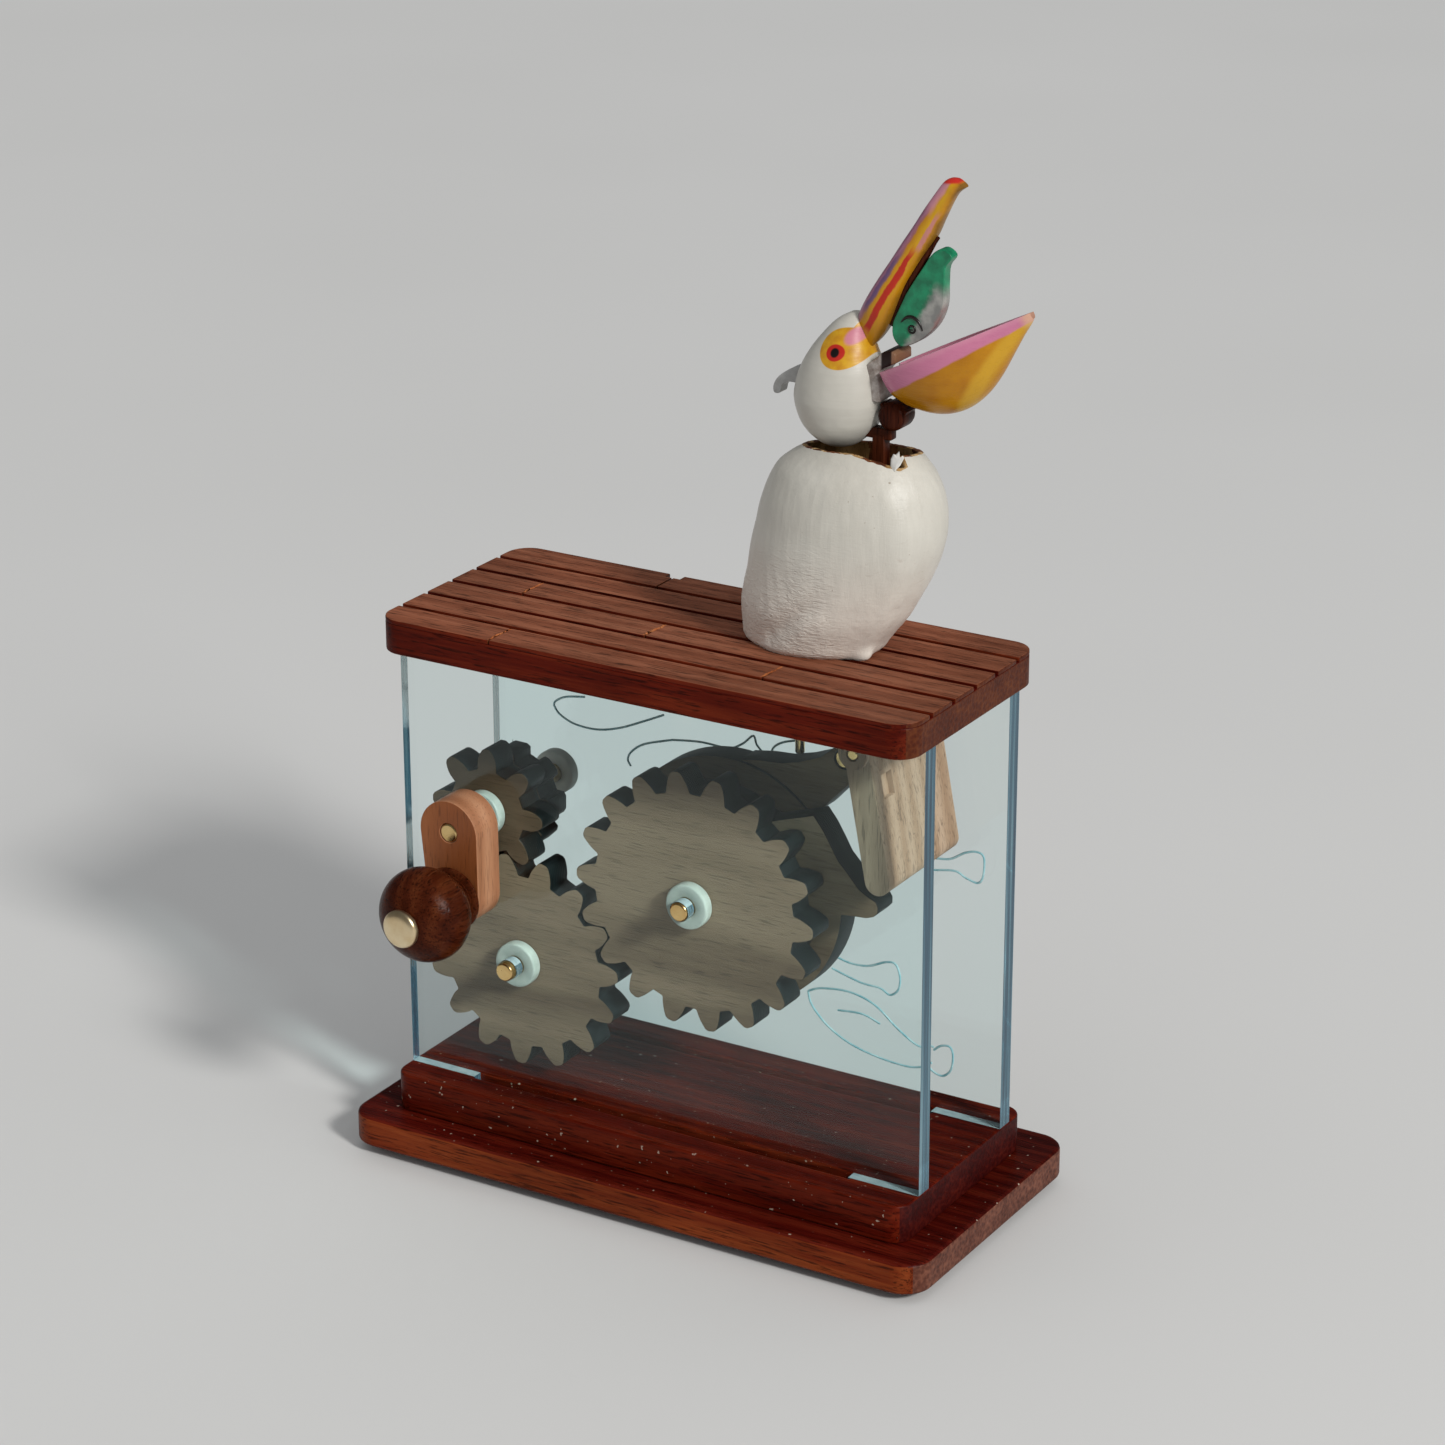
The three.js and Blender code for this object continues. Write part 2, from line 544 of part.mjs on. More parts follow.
function jawBracketGeometry() {
  const blank = new THREE.Shape([[45.4, 203.4], [48.0, 203.0], [51.6, 205.6], [52.6, 207.0], [49.2, 207.3],
    [45.4, 208.2]].map(([x, z]) => new THREE.Vector2(x, z)));
  addHole(blank, JAW_PIVOT.x, JAW_PIVOT.z, 1.25);
  return slab(blank, [BIRD_Y - 2.4, BIRD_Y + 2.4]);
}

// ---------------------------------------------------------------- assembly
const automaton = new THREE.Group();
automaton.position.y = CASE_SHIFT_Y;

const FINISH = {
  dark_wood: { color: 0x6b2f1a, roughness: 0.35, metalness: 0 },
  ply: { color: 0xc9b79a, roughness: 0.7, metalness: 0 },
  light_wood: { color: 0xdcbf95, roughness: 0.65, metalness: 0 },
  arm_wood: { color: 0xc98f62, roughness: 0.55, metalness: 0 },
  knob_wood: { color: 0x2e1a12, roughness: 0.3, metalness: 0 },
  acrylic: { color: 0xdff1f0, roughness: 0.05, metalness: 0 },
  brass: { color: 0xc9a24a, roughness: 0.25, metalness: 1 },
  nylon: { color: 0xf2f2ee, roughness: 0.5, metalness: 0 },
  felt: { color: 0xd8d2c8, roughness: 0.9, metalness: 0 },
  white_paint: { color: 0xe9e8e2, roughness: 0.6, metalness: 0 },
  yellow_paint: { color: 0xd9b23c, roughness: 0.55, metalness: 0 },
  ochre_paint: { color: 0xc98a2a, roughness: 0.55, metalness: 0 },
  grey_paint: { color: 0xa9a8a4, roughness: 0.6, metalness: 0 },
  red_paint: { color: 0xb5322a, roughness: 0.5, metalness: 0 },
  green_paint: { color: 0x55704a, roughness: 0.55, metalness: 0 },
};

function add(name, geometry, finish, axis = { x: 0, z: 0 }) {
  const mesh = new THREE.Mesh(geometry, new THREE.MeshStandardMaterial(FINISH[finish]));
  mesh.name = name;
  mesh.position.set(axis.x, 0, axis.z);
  automaton.add(mesh);
}

// case
[[-1, -1], [1, -1], [1, 1], [-1, 1]].forEach(([sx, sy], i) => {
  const disc = board(new THREE.Shape().absarc(0, 0, FOOT.r, 0, 2 * Math.PI), 0, FOOT.height, 12);
  add(`foot_${i + 1}`, disc.translate(sx * FOOT.x, sy * FOOT.y, 0), 'felt');
});
add('base_board', board(roundedRect(BASE.length, BASE.width, BASE.corner), BASE.z0, BASE.z1), 'dark_wood');
add('plinth', plinthGeometry(), 'dark_wood');
const SHAFT_AXES = [CAM_AXIS, IDLER_AXIS, CRANK_AXIS];
add('front_plate', plateGeometry(-PLATE.outer, -PLATE.inner, SHAFT_AXES), 'acrylic');
add('back_plate', plateGeometry(PLATE.inner, PLATE.outer,
  [...SHAFT_AXES, { x: LEVER.pinX, z: LEVER.pinZ }]), 'acrylic');
add('deck', deckGeometry(), 'dark_wood');

// gear train
const SHAFT_BACK = PLATE.outer - 0.4;
const SPACER_FRONT = [GEAR_Y[0] - GAP - SPACER_LONG + 0.2, GEAR_Y[0] - GAP];
const SPACER_BACK = [PLATE.inner - GAP - SPACER_LONG, PLATE.inner - GAP];
for (const [name, axis] of [['cam', CAM_AXIS], ['idler', IDLER_AXIS], ['crank', CRANK_AXIS]]) {
  for (const [end, [y0, y1]] of [['front', SPACER_FRONT], ['back', SPACER_BACK]]) {
    add(`${name}_spacer_${end}`, ring(SHAFT_R + SHAFT_FIT, SPACER_R, y0, y1), 'nylon', axis);
  }
}
add('cam_shaft', bar(SHAFT_R, -PLATE.outer - 0.6, SHAFT_BACK), 'brass', CAM_AXIS);
add('idler_shaft', bar(SHAFT_R, -PLATE.outer - 2, SHAFT_BACK), 'brass', IDLER_AXIS);
add('crank_shaft', bar(SHAFT_R, CRANK.armY[0], SHAFT_BACK), 'brass', CRANK_AXIS);
add('cam_gear', slab(gearShape(CAM_TEETH, CAM_TOOTH_DEG), GEAR_Y), 'ply', CAM_AXIS);
add('idler_gear', slab(gearShape(IDLER_TEETH, IDLER_TOOTH_DEG), GEAR_Y), 'ply', IDLER_AXIS);
add('pinion', slab(gearShape(PINION_TEETH, PINION_TOOTH_DEG, MODULE_MM * PINION_TEETH / 2 + ADDENDUM + 0.1),
  GEAR_Y), 'ply', CRANK_AXIS);
add('pinion_rear', slab(gearShape(PINION_TEETH, PINION_TOOTH_DEG, PINION_REAR_TIP_R, 2), FINGER_CAM_Y),
  'ply', CRANK_AXIS);
add('finger_cam', slab(fingerCamShape(), FINGER_CAM_Y), 'ply', CAM_AXIS);
add('disc_cam', slab(discCamShape(), DISC_CAM_Y, 36), 'ply', CAM_AXIS);

// crank
add('crank_arm', crankArmGeometry(), 'arm_wood');
add('knob', knobGeometry(), 'knob_wood', KNOB_AXIS);
add('knob_pin', knobPinGeometry(), 'brass', KNOB_AXIS);

// lever
const LEVER_PIN = { x: LEVER.pinX, z: LEVER.pinZ };
add('lever_pin', bar(SHAFT_R, LEVER.y[0], SHAFT_BACK), 'brass', LEVER_PIN);
add('lever_spacer', ring(SHAFT_R + SHAFT_FIT, 4.2, LEVER.y[1] + GAP, PLATE.inner - GAP), 'nylon', LEVER_PIN);
add('follower_lever', slab(leverShape(), LEVER.y), 'ply');

// paddle
add('paddle', paddleGeometry(), 'light_wood');
add('paddle_pin', bar(PADDLE.pinR, -PLATE.inner + GAP, PLATE.inner - GAP, 16), 'brass',
  { x: PADDLE.pinX, z: PADDLE.pinZ });
for (const [end, side] of [['front', -1], ['back', 1]]) {
  const tab = new THREE.Shape();
  tab.absarc(PADDLE.pinX, PADDLE.pinZ, 3.8, Math.PI, 2 * Math.PI);
  tab.lineTo(PADDLE.pinX + 3.8, DECK.z0 - 0.03);
  tab.lineTo(PADDLE.pinX - 3.8, DECK.z0 - 0.03);
  tab.closePath();
  addHole(tab, PADDLE.pinX, PADDLE.pinZ, PADDLE.pinR + SHAFT_FIT);
  const span = [side * (PADDLE.half + GAP), side * (PLATE.inner - GAP)].sort((a, b) => a - b);
  add(`paddle_hanger_${end}`, slab(tab, span), 'light_wood');
}

// rods
add('head_rod', uprightBar(HEAD_ROD.r, HEAD_ROD.x, HEAD_ROD.y, HEAD_ROD.z0, HEAD_ROD.z1), 'brass');
add('jaw_rod', uprightBar(JAW_ROD.r, JAW_ROD.x, JAW_ROD.y, JAW_ROD.z0, JAW_ROD.z1), 'brass');

// pelican
add('pelican_body', bodyGeometry(), 'white_paint');
add('neck_pin', bar(1.25, BIRD_Y - 13.8, BIRD_Y + 13.8, 12, 0.2), 'brass', NECK_PIVOT);
add('neck_post', neckGeometry(), 'knob_wood');
add('head', headGeometry(), 'white_paint');
add('crest', crestGeometry(), 'grey_paint');
add('beak_block', beakBlockGeometry(), 'light_wood');
add('upper_beak', upperBeakGeometry(), 'yellow_paint');
add('fish', fishGeometry(), 'green_paint');
add('lower_beak', lowerBeakGeometry(), 'ochre_paint');
add('jaw_bracket', jawBracketGeometry(), 'knob_wood');
add('jaw_pin', bar(0.95, BIRD_Y - 3.2, BIRD_Y + 3.2, 12, 0.1), 'brass', JAW_PIVOT);

export default automaton;
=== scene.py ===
"""Looks for the hand-cranked pelican automaton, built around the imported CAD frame. Metres, +Z up."""
import math

import bmesh
import bpy
import numpy as np
from mathutils import Matrix, Vector, noise


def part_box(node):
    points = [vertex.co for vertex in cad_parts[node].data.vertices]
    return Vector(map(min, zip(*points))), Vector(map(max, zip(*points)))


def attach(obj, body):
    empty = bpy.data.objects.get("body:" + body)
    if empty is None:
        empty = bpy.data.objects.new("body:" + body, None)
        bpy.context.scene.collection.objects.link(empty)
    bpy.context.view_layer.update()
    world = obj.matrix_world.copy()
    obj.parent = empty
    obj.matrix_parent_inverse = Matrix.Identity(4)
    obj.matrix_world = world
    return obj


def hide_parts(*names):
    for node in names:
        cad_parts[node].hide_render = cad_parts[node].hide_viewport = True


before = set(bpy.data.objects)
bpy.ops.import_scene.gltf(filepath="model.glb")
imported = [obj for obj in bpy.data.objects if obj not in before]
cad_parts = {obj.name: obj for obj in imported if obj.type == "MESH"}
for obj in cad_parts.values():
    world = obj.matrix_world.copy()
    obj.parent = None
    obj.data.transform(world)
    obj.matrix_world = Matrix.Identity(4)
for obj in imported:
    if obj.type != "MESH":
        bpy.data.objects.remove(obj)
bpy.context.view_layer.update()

# ---------------------------------------------------------------- where things are
base_lo, base_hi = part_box("base_board")
SHIFT_Y = (base_lo.y + base_hi.y) / 2  # the case's middle plane in the object's frame
MM = 0.001


def at(x, y, z):
    """A point given in millimetres from the middle of the case."""
    return Vector((x * MM, y * MM + SHIFT_Y, z * MM))


def centre(node):
    lo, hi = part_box(node)
    return (lo + hi) / 2


BIRD_Y = (centre("head").y - SHIFT_Y) / MM


# ---------------------------------------------------------------- node helpers
class Shade:
    """Builds one procedural material."""

    def __init__(self, name, rough=0.5, specular=0.5, **sockets):
        self.mat = bpy.data.materials.new(name)
        self.mat.use_nodes = True
        self.nt = self.mat.node_tree
        self.nt.nodes.clear()
        self.out = self.node("OutputMaterial")
        self.bsdf = self.node("BsdfPrincipled", Roughness=rough, Specular_IOR_Level=specular, **sockets)
        self.link(self.bsdf.outputs[0], self.out.inputs[0])
        self.space = self.node("TexCoord").outputs["Object"]

    def link(self, a, b):
        self.nt.links.new(a, b)

    def node(self, kind, **sockets):
        """A new node; each keyword is a socket's value, or the output that feeds it."""
        n = self.nt.nodes.new("ShaderNode" + kind)
        for key, value in sockets.items():
            self.fill(n.inputs[key.replace("_", " ")], value)
        return n

    def fill(self, socket, value):
        if isinstance(value, bpy.types.NodeSocket):
            self.link(value, socket)
        elif socket.type == "RGBA":
            colour = (value,) * 3 if isinstance(value, (int, float)) else value
            socket.default_value = (*colour, 1)
        else:
            socket.default_value = value

    def mapped(self, scale, turn=(0, 0, 0), shift=(0, 0, 0)):
        """The object's own coordinates, in pattern units; scale is one number or one per axis."""
        scale = (scale,) * 3 if isinstance(scale, (int, float)) else scale
        return self.node("Mapping", Scale=scale, Rotation=[math.radians(a) for a in turn], Location=shift,
                         Vector=self.space).outputs[0]

    def noise(self, scale, detail=4.0, rough=0.55, distort=0.0, **placing):
        return self.node("TexNoise", Scale=1.0, Detail=detail, Roughness=rough, Distortion=distort,
                         Vector=self.mapped(scale, **placing)).outputs["Fac"]

    def wave(self, scale, distort, detail, detail_scale, axis, **placing):
        n = self.node("TexWave", Scale=1.0, Distortion=distort, Detail=detail, Detail_Scale=detail_scale,
                      Vector=self.mapped(scale, **placing))
        n.bands_direction = axis
        return n.outputs["Fac"]

    def patches(self, low, high, *pattern, depth=1.0):
        """Noise made into soft patches: 0 below low, depth above high."""
        return self.ramp(self.noise(*pattern), [(low, 0.0), (high, depth)])

    def voronoi(self, scale):
        return self.node("TexVoronoi", Scale=1.0, Vector=self.mapped(scale)).outputs["Distance"]

    def ramp(self, fac, stops):
        n = self.node("ValToRGB", Fac=fac)
        elements = n.color_ramp.elements
        while len(elements) < len(stops):
            elements.new(0.5)
        for element, (position, colour) in zip(elements, stops):
            element.position = position
            colour = (colour,) * 3 if isinstance(colour, (int, float)) else colour
            element.color = (*colour, 1)
        return n.outputs["Color"]

    def mix(self, fac, a, b, kind="MIX"):
        n = self.node("Mix")
        n.data_type = "RGBA"
        n.blend_type = kind
        for socket, value in ((n.inputs[0], fac), (n.inputs[6], a), (n.inputs[7], b)):
            self.fill(socket, value)
        return n.outputs[2]

    def over(self, base, mask, colour, strength):
        """A colour laid over base where mask is 1."""
        return self.mix(self.times(mask, strength), base, colour)

    def math(self, op, a, b=0.0, c=0.0, clamp=False):
        n = self.node("Math")
        n.operation = op
        n.use_clamp = clamp
        for socket, value in zip(n.inputs, (a, b, c)):
            self.fill(socket, value)
        return n.outputs[0]

    def times(self, a, b):
        return self.math("MULTIPLY", a, b)

    def linear(self, value, slope, rise, clamp=False):
        return self.math("MULTIPLY_ADD", value, slope, rise, clamp)

    def along(self, origin, direction):
        """How far a point lies from origin along direction, in mm."""
        d = Vector(direction).normalized() / MM
        n = self.node("VectorMath")
        n.operation = "DOT_PRODUCT"
        n.inputs[1].default_value = d
        self.link(self.space, n.inputs[0])
        return self.math("SUBTRACT", n.outputs["Value"], Vector(origin).dot(d))

    def smooth(self, value, low, high):
        """0 below low, 1 above high; low may be above high."""
        n = self.node("MapRange", From_Min=low, From_Max=high, Value=value)
        n.interpolation_type = "SMOOTHSTEP"
        return n.outputs[0]

    def window(self, value, low, full, full_end, end):
        """Rises from low to full and falls again from full_end to end."""
        return self.times(self.smooth(value, low, full), self.smooth(value, end, full_end))

    def ellipse(self, centre_point, ax, az, turn=0.0, edge=0.06):
        """1 inside an ellipse in X-Z (half-axes in mm), 0 outside."""
        t = math.radians(turn)
        squares = []
        for axis, half in (((math.cos(t), 0, math.sin(t)), ax), ((-math.sin(t), 0, math.cos(t)), az)):
            share = self.math("DIVIDE", self.along(centre_point, axis), half)
            squares.append(self.times(share, share))
        return self.smooth(self.math("ADD", *squares), 1 + edge, 1 - edge)

    def colour(self, value):
        self.fill(self.bsdf.inputs["Base Color"], value)

    def roughness(self, value, slope, rise):
        self.link(self.linear(value, slope, rise), self.bsdf.inputs["Roughness"])

    def bump(self, height, strength=0.4, distance=0.0003):
        n = self.node("Bump", Strength=strength, Distance=distance, Height=height)
        previous = self.bsdf.inputs["Normal"]
        if previous.is_linked:
            self.link(previous.links[0].from_socket, n.inputs["Normal"])
        self.link(n.outputs[0], previous)


def stretched(axis, along, sideways):
    """Mapping scale for grain that runs along an axis."""
    scale = [sideways] * 3
    scale["xyz".index(axis)] = along
    return scale


def across(axis):
    """The axis that growth rings are stacked along."""
    return "X" if axis == "y" else "Y"


# ---------------------------------------------------------------- materials
def varnished_wood(name, axis, deep, middle, light, gloss=0.34, shift=(0, 0, 0), lift=1.0, dust=0.0):
    s = Shade(name, rough=gloss, specular=0.06)
    broad = s.noise(stretched(axis, 7, 75), 5, 0.55, 0.6, shift=shift)
    fine = s.noise(stretched(axis, 34, 900), 5, 0.65, 0.25, shift=shift)
    pores = s.noise(stretched(axis, 130, 2100), 3, 0.6, shift=shift)
    figure = s.wave(stretched(axis, 3, 60), 7, 3, 1.4, across(axis), turn=(4, 3, 5), shift=shift)
    tone = s.mix(0.26, broad, figure)
    tone = s.mix(0.46, tone, fine)
    base = s.ramp(tone, [(0.25, deep), (0.47, middle), (0.74, light)])
    streak = s.ramp(pores, [(0.36, 0.35), (0.47, 1.0)])
    worn = s.mix(1.0, base, streak, "MULTIPLY")
    blotch = s.ramp(s.noise(22, 3, 0.5, shift=shift),
                    [(0.32, 0.72 * lift), (0.68, 1.18 * lift)])
    toned = s.mix(1.0, worn, blotch, "MULTIPLY")
    if dust:
        specks = s.noise(760, 1, 0.4, shift=shift)
        toned = s.mix(s.ramp(specks, [(0.748, 0.0), (0.775, dust)]), toned, (0.42, 0.34, 0.27))
    s.colour(toned)
    s.roughness(fine, 0.30, gloss - 0.12)
    s.bump(pores, 0.42, 0.00022)
    s.bump(fine, 0.25, 0.0002)
    return s.mat


def end_grain(name, deep, middle, light, gloss=0.45):
    """The speckled look of wood cut across its fibres."""
    s = Shade(name, rough=gloss, specular=0.15)
    pores = s.voronoi(900)
    fine = s.noise(1500, 3, 0.6)
    cloud = s.noise((60, 110, 160), 4, 0.6)
    tone = s.mix(0.45, s.mix(0.5, pores, fine), cloud)
    s.colour(s.ramp(tone, [(0.28, deep), (0.48, middle), (0.72, light)]))
    s.roughness(fine, 0.3, gloss - 0.1)
    s.bump(fine, 0.35, 0.00025)
    s.bump(pores, 0.3, 0.0002)
    return s.mat


def bare_wood(name, axis, dark, middle, light, rough=0.6, rings=1.0, cracks=False, shift=(0, 0, 0)):
    s = Shade(name, rough=rough, specular=0.25)
    rows = s.wave(stretched(axis, 6, 150 * rings), 5.5, 3, 0.9, across(axis), turn=(5, 2, 4), shift=shift)
    fine = s.noise(stretched(axis, 26, 900), 5, 0.6, 0.2, shift=shift)
    broad = s.noise(stretched(axis, 12, 60), 3, 0.5, shift=shift)
    tone = s.mix(0.5, s.mix(0.45, rows, fine), broad)
    base = s.ramp(tone, [(0.3, dark), (0.52, middle), (0.75, light)])
    pores = s.noise(stretched(axis, 160, 2600), 2, 0.5, shift=shift)
    base = s.mix(1.0, base, s.ramp(pores, [(0.33, 0.62), (0.43, 1.0)]), "MULTIPLY")
    if cracks:
        crack = s.noise(stretched(axis, 9, 420), 2, 0.4, 0.4, shift=shift)
        line = s.ramp(crack, [(0.485, 1.0), (0.5, 0.45), (0.515, 1.0)])
        base = s.mix(0.8, base, line, "MULTIPLY")
        s.bump(line, 0.5, 0.0002)
    s.colour(base)
    s.roughness(fine, 0.25, rough - 0.12)
    s.bump(pores, 0.3, 0.00015)
    s.bump(fine, 0.3, 0.00015)
    return s.mat


def burnt_and_shaded_edge(name):
    s = Shade(name, rough=0.5, specular=0.2)
    layers = s.wave((4, 420, 4), 1.2, 2, 1.0, "Y")
    soot = s.noise(240, 4, 0.6)
    tone = s.mix(0.5, layers, soot)
    # The sawn edges are charred, and are darkened further to nearly black as painted shade on the shadowed side walls.
    s.colour(s.ramp(tone, [(0.25, (0.002, 0.004, 0.0045)), (0.6, (0.006, 0.011, 0.012)),
                           (0.9, (0.020, 0.027, 0.026))]))
    s.bump(tone, 0.35, 0.0002)
    return s.mat


def metal(name, colour, dark, rough=0.2, axis="y"):
    s = Shade(name, rough=rough, specular=0.5, Metallic=1.0)
    turned = s.noise(stretched(axis, 2600, 260), 3, 0.6)
    s.colour(s.mix(s.patches(0.35, 0.75, 180, 4, 0.6), colour, dark))
    s.roughness(turned, 0.22, rough - 0.06)
    s.bump(turned, 0.12, 0.0001)
    return s.mat


def nylon(name):
    s = Shade(name, rough=0.38, specular=0.4, Subsurface_Weight=0.25, Subsurface_Radius=(0.002, 0.002, 0.002))
    cloud = s.noise(300, 3, 0.5)
    s.colour(s.ramp(cloud, [(0.3, (0.42, 0.44, 0.40)), (0.7, (0.54, 0.55, 0.50))]))
    s.roughness(cloud, 0.2, 0.3)
    s.bump(cloud, 0.1, 0.0001)
    return s.mat


def cork(name):
    s = Shade(name, rough=0.85, specular=0.2)
    cells = s.voronoi(900)
    cloud = s.noise(260, 4, 0.6)
    s.colour(s.ramp(s.mix(0.5, cells, cloud), [(0.2, (0.16, 0.06, 0.028)), (0.5, (0.36, 0.17, 0.085)),
                                               (0.8, (0.52, 0.29, 0.17))]))
    s.bump(cells, 0.5, 0.0003)
    return s.mat


ACRYLIC_IOR = 1.49


def clear_sheet(name, tint, rough=0.015):
    """Clear acrylic. Lamps shine straight through it, so that what stands behind is lit."""
    s = Shade(name, rough=rough, specular=0.5, Transmission_Weight=1.0, IOR=ACRYLIC_IOR, Specular_Tint=(0.45, 0.5, 0.5))
    haze = s.noise(9, 2, 0.5)
    s.colour(s.ramp(haze, [(0.3, tint), (0.7, tuple(min(1, c * 1.015) for c in tint))]))
    clear = s.node("BsdfTransparent", Color=tint)
    mixer = s.node("MixShader", Fac=s.node("LightPath").outputs["Is Shadow Ray"])
    s.link(s.bsdf.outputs[0], mixer.inputs[1])
    s.link(clear.outputs[0], mixer.inputs[2])
    s.link(mixer.outputs[0], s.out.inputs[0])
    return s.mat


def sheet_edge(name):
    """The polished edge of the acrylic, where its own colour gathers."""
    s = Shade(name, rough=0.12, specular=0.6, Transmission_Weight=0.35, IOR=ACRYLIC_IOR)
    lines = s.noise((900, 900, 14), 3, 0.6)
    s.colour(s.ramp(lines, [(0.3, (0.012, 0.045, 0.085)), (0.5, (0.04, 0.13, 0.19)), (0.75, (0.22, 0.38, 0.44))]))
    s.bump(lines, 0.15, 0.0001)
    return s.mat


def paint(s, base, strokes=(60, 60, 500), turn=(0, 0, 0), tone=0.16, bump=0.35, gloss=0.42):
    """Brushed paint: slight streaks of tone, and the bristle marks standing up."""
    streak = s.noise(strokes, 5, 0.65, 0.3, turn=turn)
    cloud = s.noise(90, 4, 0.55)
    shade = s.ramp(s.mix(0.5, streak, cloud), [(0.3, 1 - tone), (0.7, 1.0 + tone * 0.4)])
    s.colour(s.mix(1.0, base, shade, "MULTIPLY"))
    s.roughness(streak, 0.25, gloss - 0.1)
    s.bump(streak, bump, 0.0002)
    return s.mat


WHITE = (0.53, 0.51, 0.455)
WHITE_SHADE = (0.47, 0.445, 0.39)
# The next white is painted light: a lighter tone for the lower body, which stands in half shade.
WHITE_LOW_PAINTED_LIGHT = (0.70, 0.645, 0.575)
YELLOW = (0.56, 0.30, 0.006)
DEEP_YELLOW = (0.45, 0.195, 0.004)
PINK = (0.50, 0.165, 0.27)
MAUVE = (0.34, 0.145, 0.22)
BLACK = (0.006, 0.004, 0.004)


def white_body(name):
    s = Shade(name, rough=0.42, specular=0.4)
    carve = s.noise((330, 330, 1150), 3, 0.55, 1.2, turn=(0, -32, 0))
    low = s.smooth(s.along(at(27, 0, 168), (-0.42, 0, 0.9)), 9.0, -9.0)
    base = s.mix(s.patches(0.38, 0.72, 55, 4, 0.55, depth=0.8), WHITE, WHITE_SHADE)
    # Lighter towards the bottom: painted light on the lower body, which stands in half shade.
    base = s.mix(s.smooth(s.along(at(0, 0, 170), (0, 0, 1)), 10.0, -18.0), base, WHITE_LOW_PAINTED_LIGHT)
    specks = s.noise(900, 2, 0.4)
    base = s.mix(s.ramp(specks, [(0.215, 0.6), (0.245, 0.0)]), base, (0.22, 0.16, 0.11))
    # Painted shade: the carved hollows of the lower body are darkened where the chisel marks dip.
    carve_shade = s.times(s.ramp(carve, [(0.26, 1.0), (0.38, 0.0)]), s.times(low, 0.3))
    base = s.mix(carve_shade, base, (0.36, 0.30, 0.25))
    paint(s, base, (1300, 1300, 60), (0, 12, 0), 0.07, 0.4, 0.4)
    cut = s.times(low, s.smooth(s.along(at(36, 0, 168), (1, 0, 0)), 9.0, -5.0))
    n = s.times(carve, s.linear(cut, 0.88, 0.12))
    s.bump(n, 0.8, 0.00055)
    return s.mat


def head_paint(name):
    """White head with a yellow patch, a red eye and a dark pupil on each side."""
    s = Shade(name, rough=0.38, specular=0.42)
    base = s.mix(s.patches(0.4, 0.75, 60, 4, 0.55, depth=0.7), (0.48, 0.46, 0.41), (0.42, 0.40, 0.355))
    patch = s.ellipse(at(37.4, 0, 221.1), 5.9, 4.6, 12, 0.05)
    join = s.ellipse(at(41.4, 0, 225.3), 4.8, 2.6, 58, 0.06)
    yellow = s.mix(s.patches(0.35, 0.7, 420, 3, 0.5),
                   YELLOW, DEEP_YELLOW)
    base = s.mix(s.math("MAXIMUM", patch, join), base, yellow)
    base = s.mix(s.times(s.ellipse(at(39.3, 0, 223.9), 2.3, 1.7, 40, 0.45), 0.85), base, PINK)
    base = s.mix(s.ellipse(at(35.8, 0, 220.1), 2.25, 1.85, 0, 0.12), base, (0.42, 0.012, 0.004))
    base = s.mix(s.ellipse(at(35.7, 0, 220.1), 1.05, 1.05, 0, 0.35), base, BLACK)
    return paint(s, base, (70, 70, 1100), (0, -22, 0), 0.06, 0.28, 0.38)


def upper_beak_paint(name):
    """Mauve along the top, yellow below, a ragged red stripe, violet beside it and a pink patch by the red tip."""
    s = Shade(name, rough=0.3, specular=0.35)
    origin, direction, side = at(43.5, 0, 230.4), (0.515, 0, 0.857), (0.857, 0, -0.515)
    length = s.along(origin, direction)
    wobble = s.linear(s.noise(260, 3, 0.5), 1.4, -0.7)
    across = s.math("ADD", s.along(origin, side), wobble)
    taper = s.linear(length, -0.050, 3.9)
    ratio = s.math("DIVIDE", across, taper)
    base = s.ramp(s.linear(ratio, 0.5, 0.5, clamp=True),
                  [(0.0, (0.22, 0.085, 0.13)), (0.16, MAUVE), (0.27, (0.32, 0.12, 0.12)), (0.33, DEEP_YELLOW),
                   (0.60, YELLOW), (0.85, DEEP_YELLOW), (1.0, (0.22, 0.10, 0.01))])
    stripe = s.times(s.smooth(s.math("ABSOLUTE", s.math("SUBTRACT", ratio, 0.22)), 0.27, 0.16),
                     s.window(length, -7.0, -4.0, 16.0, 21.0))
    base = s.mix(stripe, base, (0.42, 0.018, 0.006))
    violet = s.times(s.smooth(s.math("ABSOLUTE", s.math("ADD", ratio, 0.46)), 0.26, 0.08),
                     s.window(length, -3.0, 1.0, 12.0, 19.0))
    base = s.over(base, violet, (0.11, 0.065, 0.17), 0.85)
    blush = s.times(s.window(length, 18.0, 21.0, 27.0, 31.0), s.window(ratio, 0.24, 0.36, 0.62, 0.80))
    base = s.over(base, blush, (0.50, 0.19, 0.21), 0.8)
    top = s.times(s.smooth(length, 27.0, 31.0), s.smooth(ratio, 0.1, -0.3))
    base = s.over(base, top, (0.56, 0.24, 0.30), 0.8)
    tip = s.along(at(61.0, 0, 262.0), (-0.10, 0, 0.99))
    base = s.mix(s.smooth(tip, 0.1, 0.8), base, (0.50, 0.02, 0.012))
    return paint(s, base, (700, 700, 60), (0, 30, 0), 0.12, 0.3, 0.3)


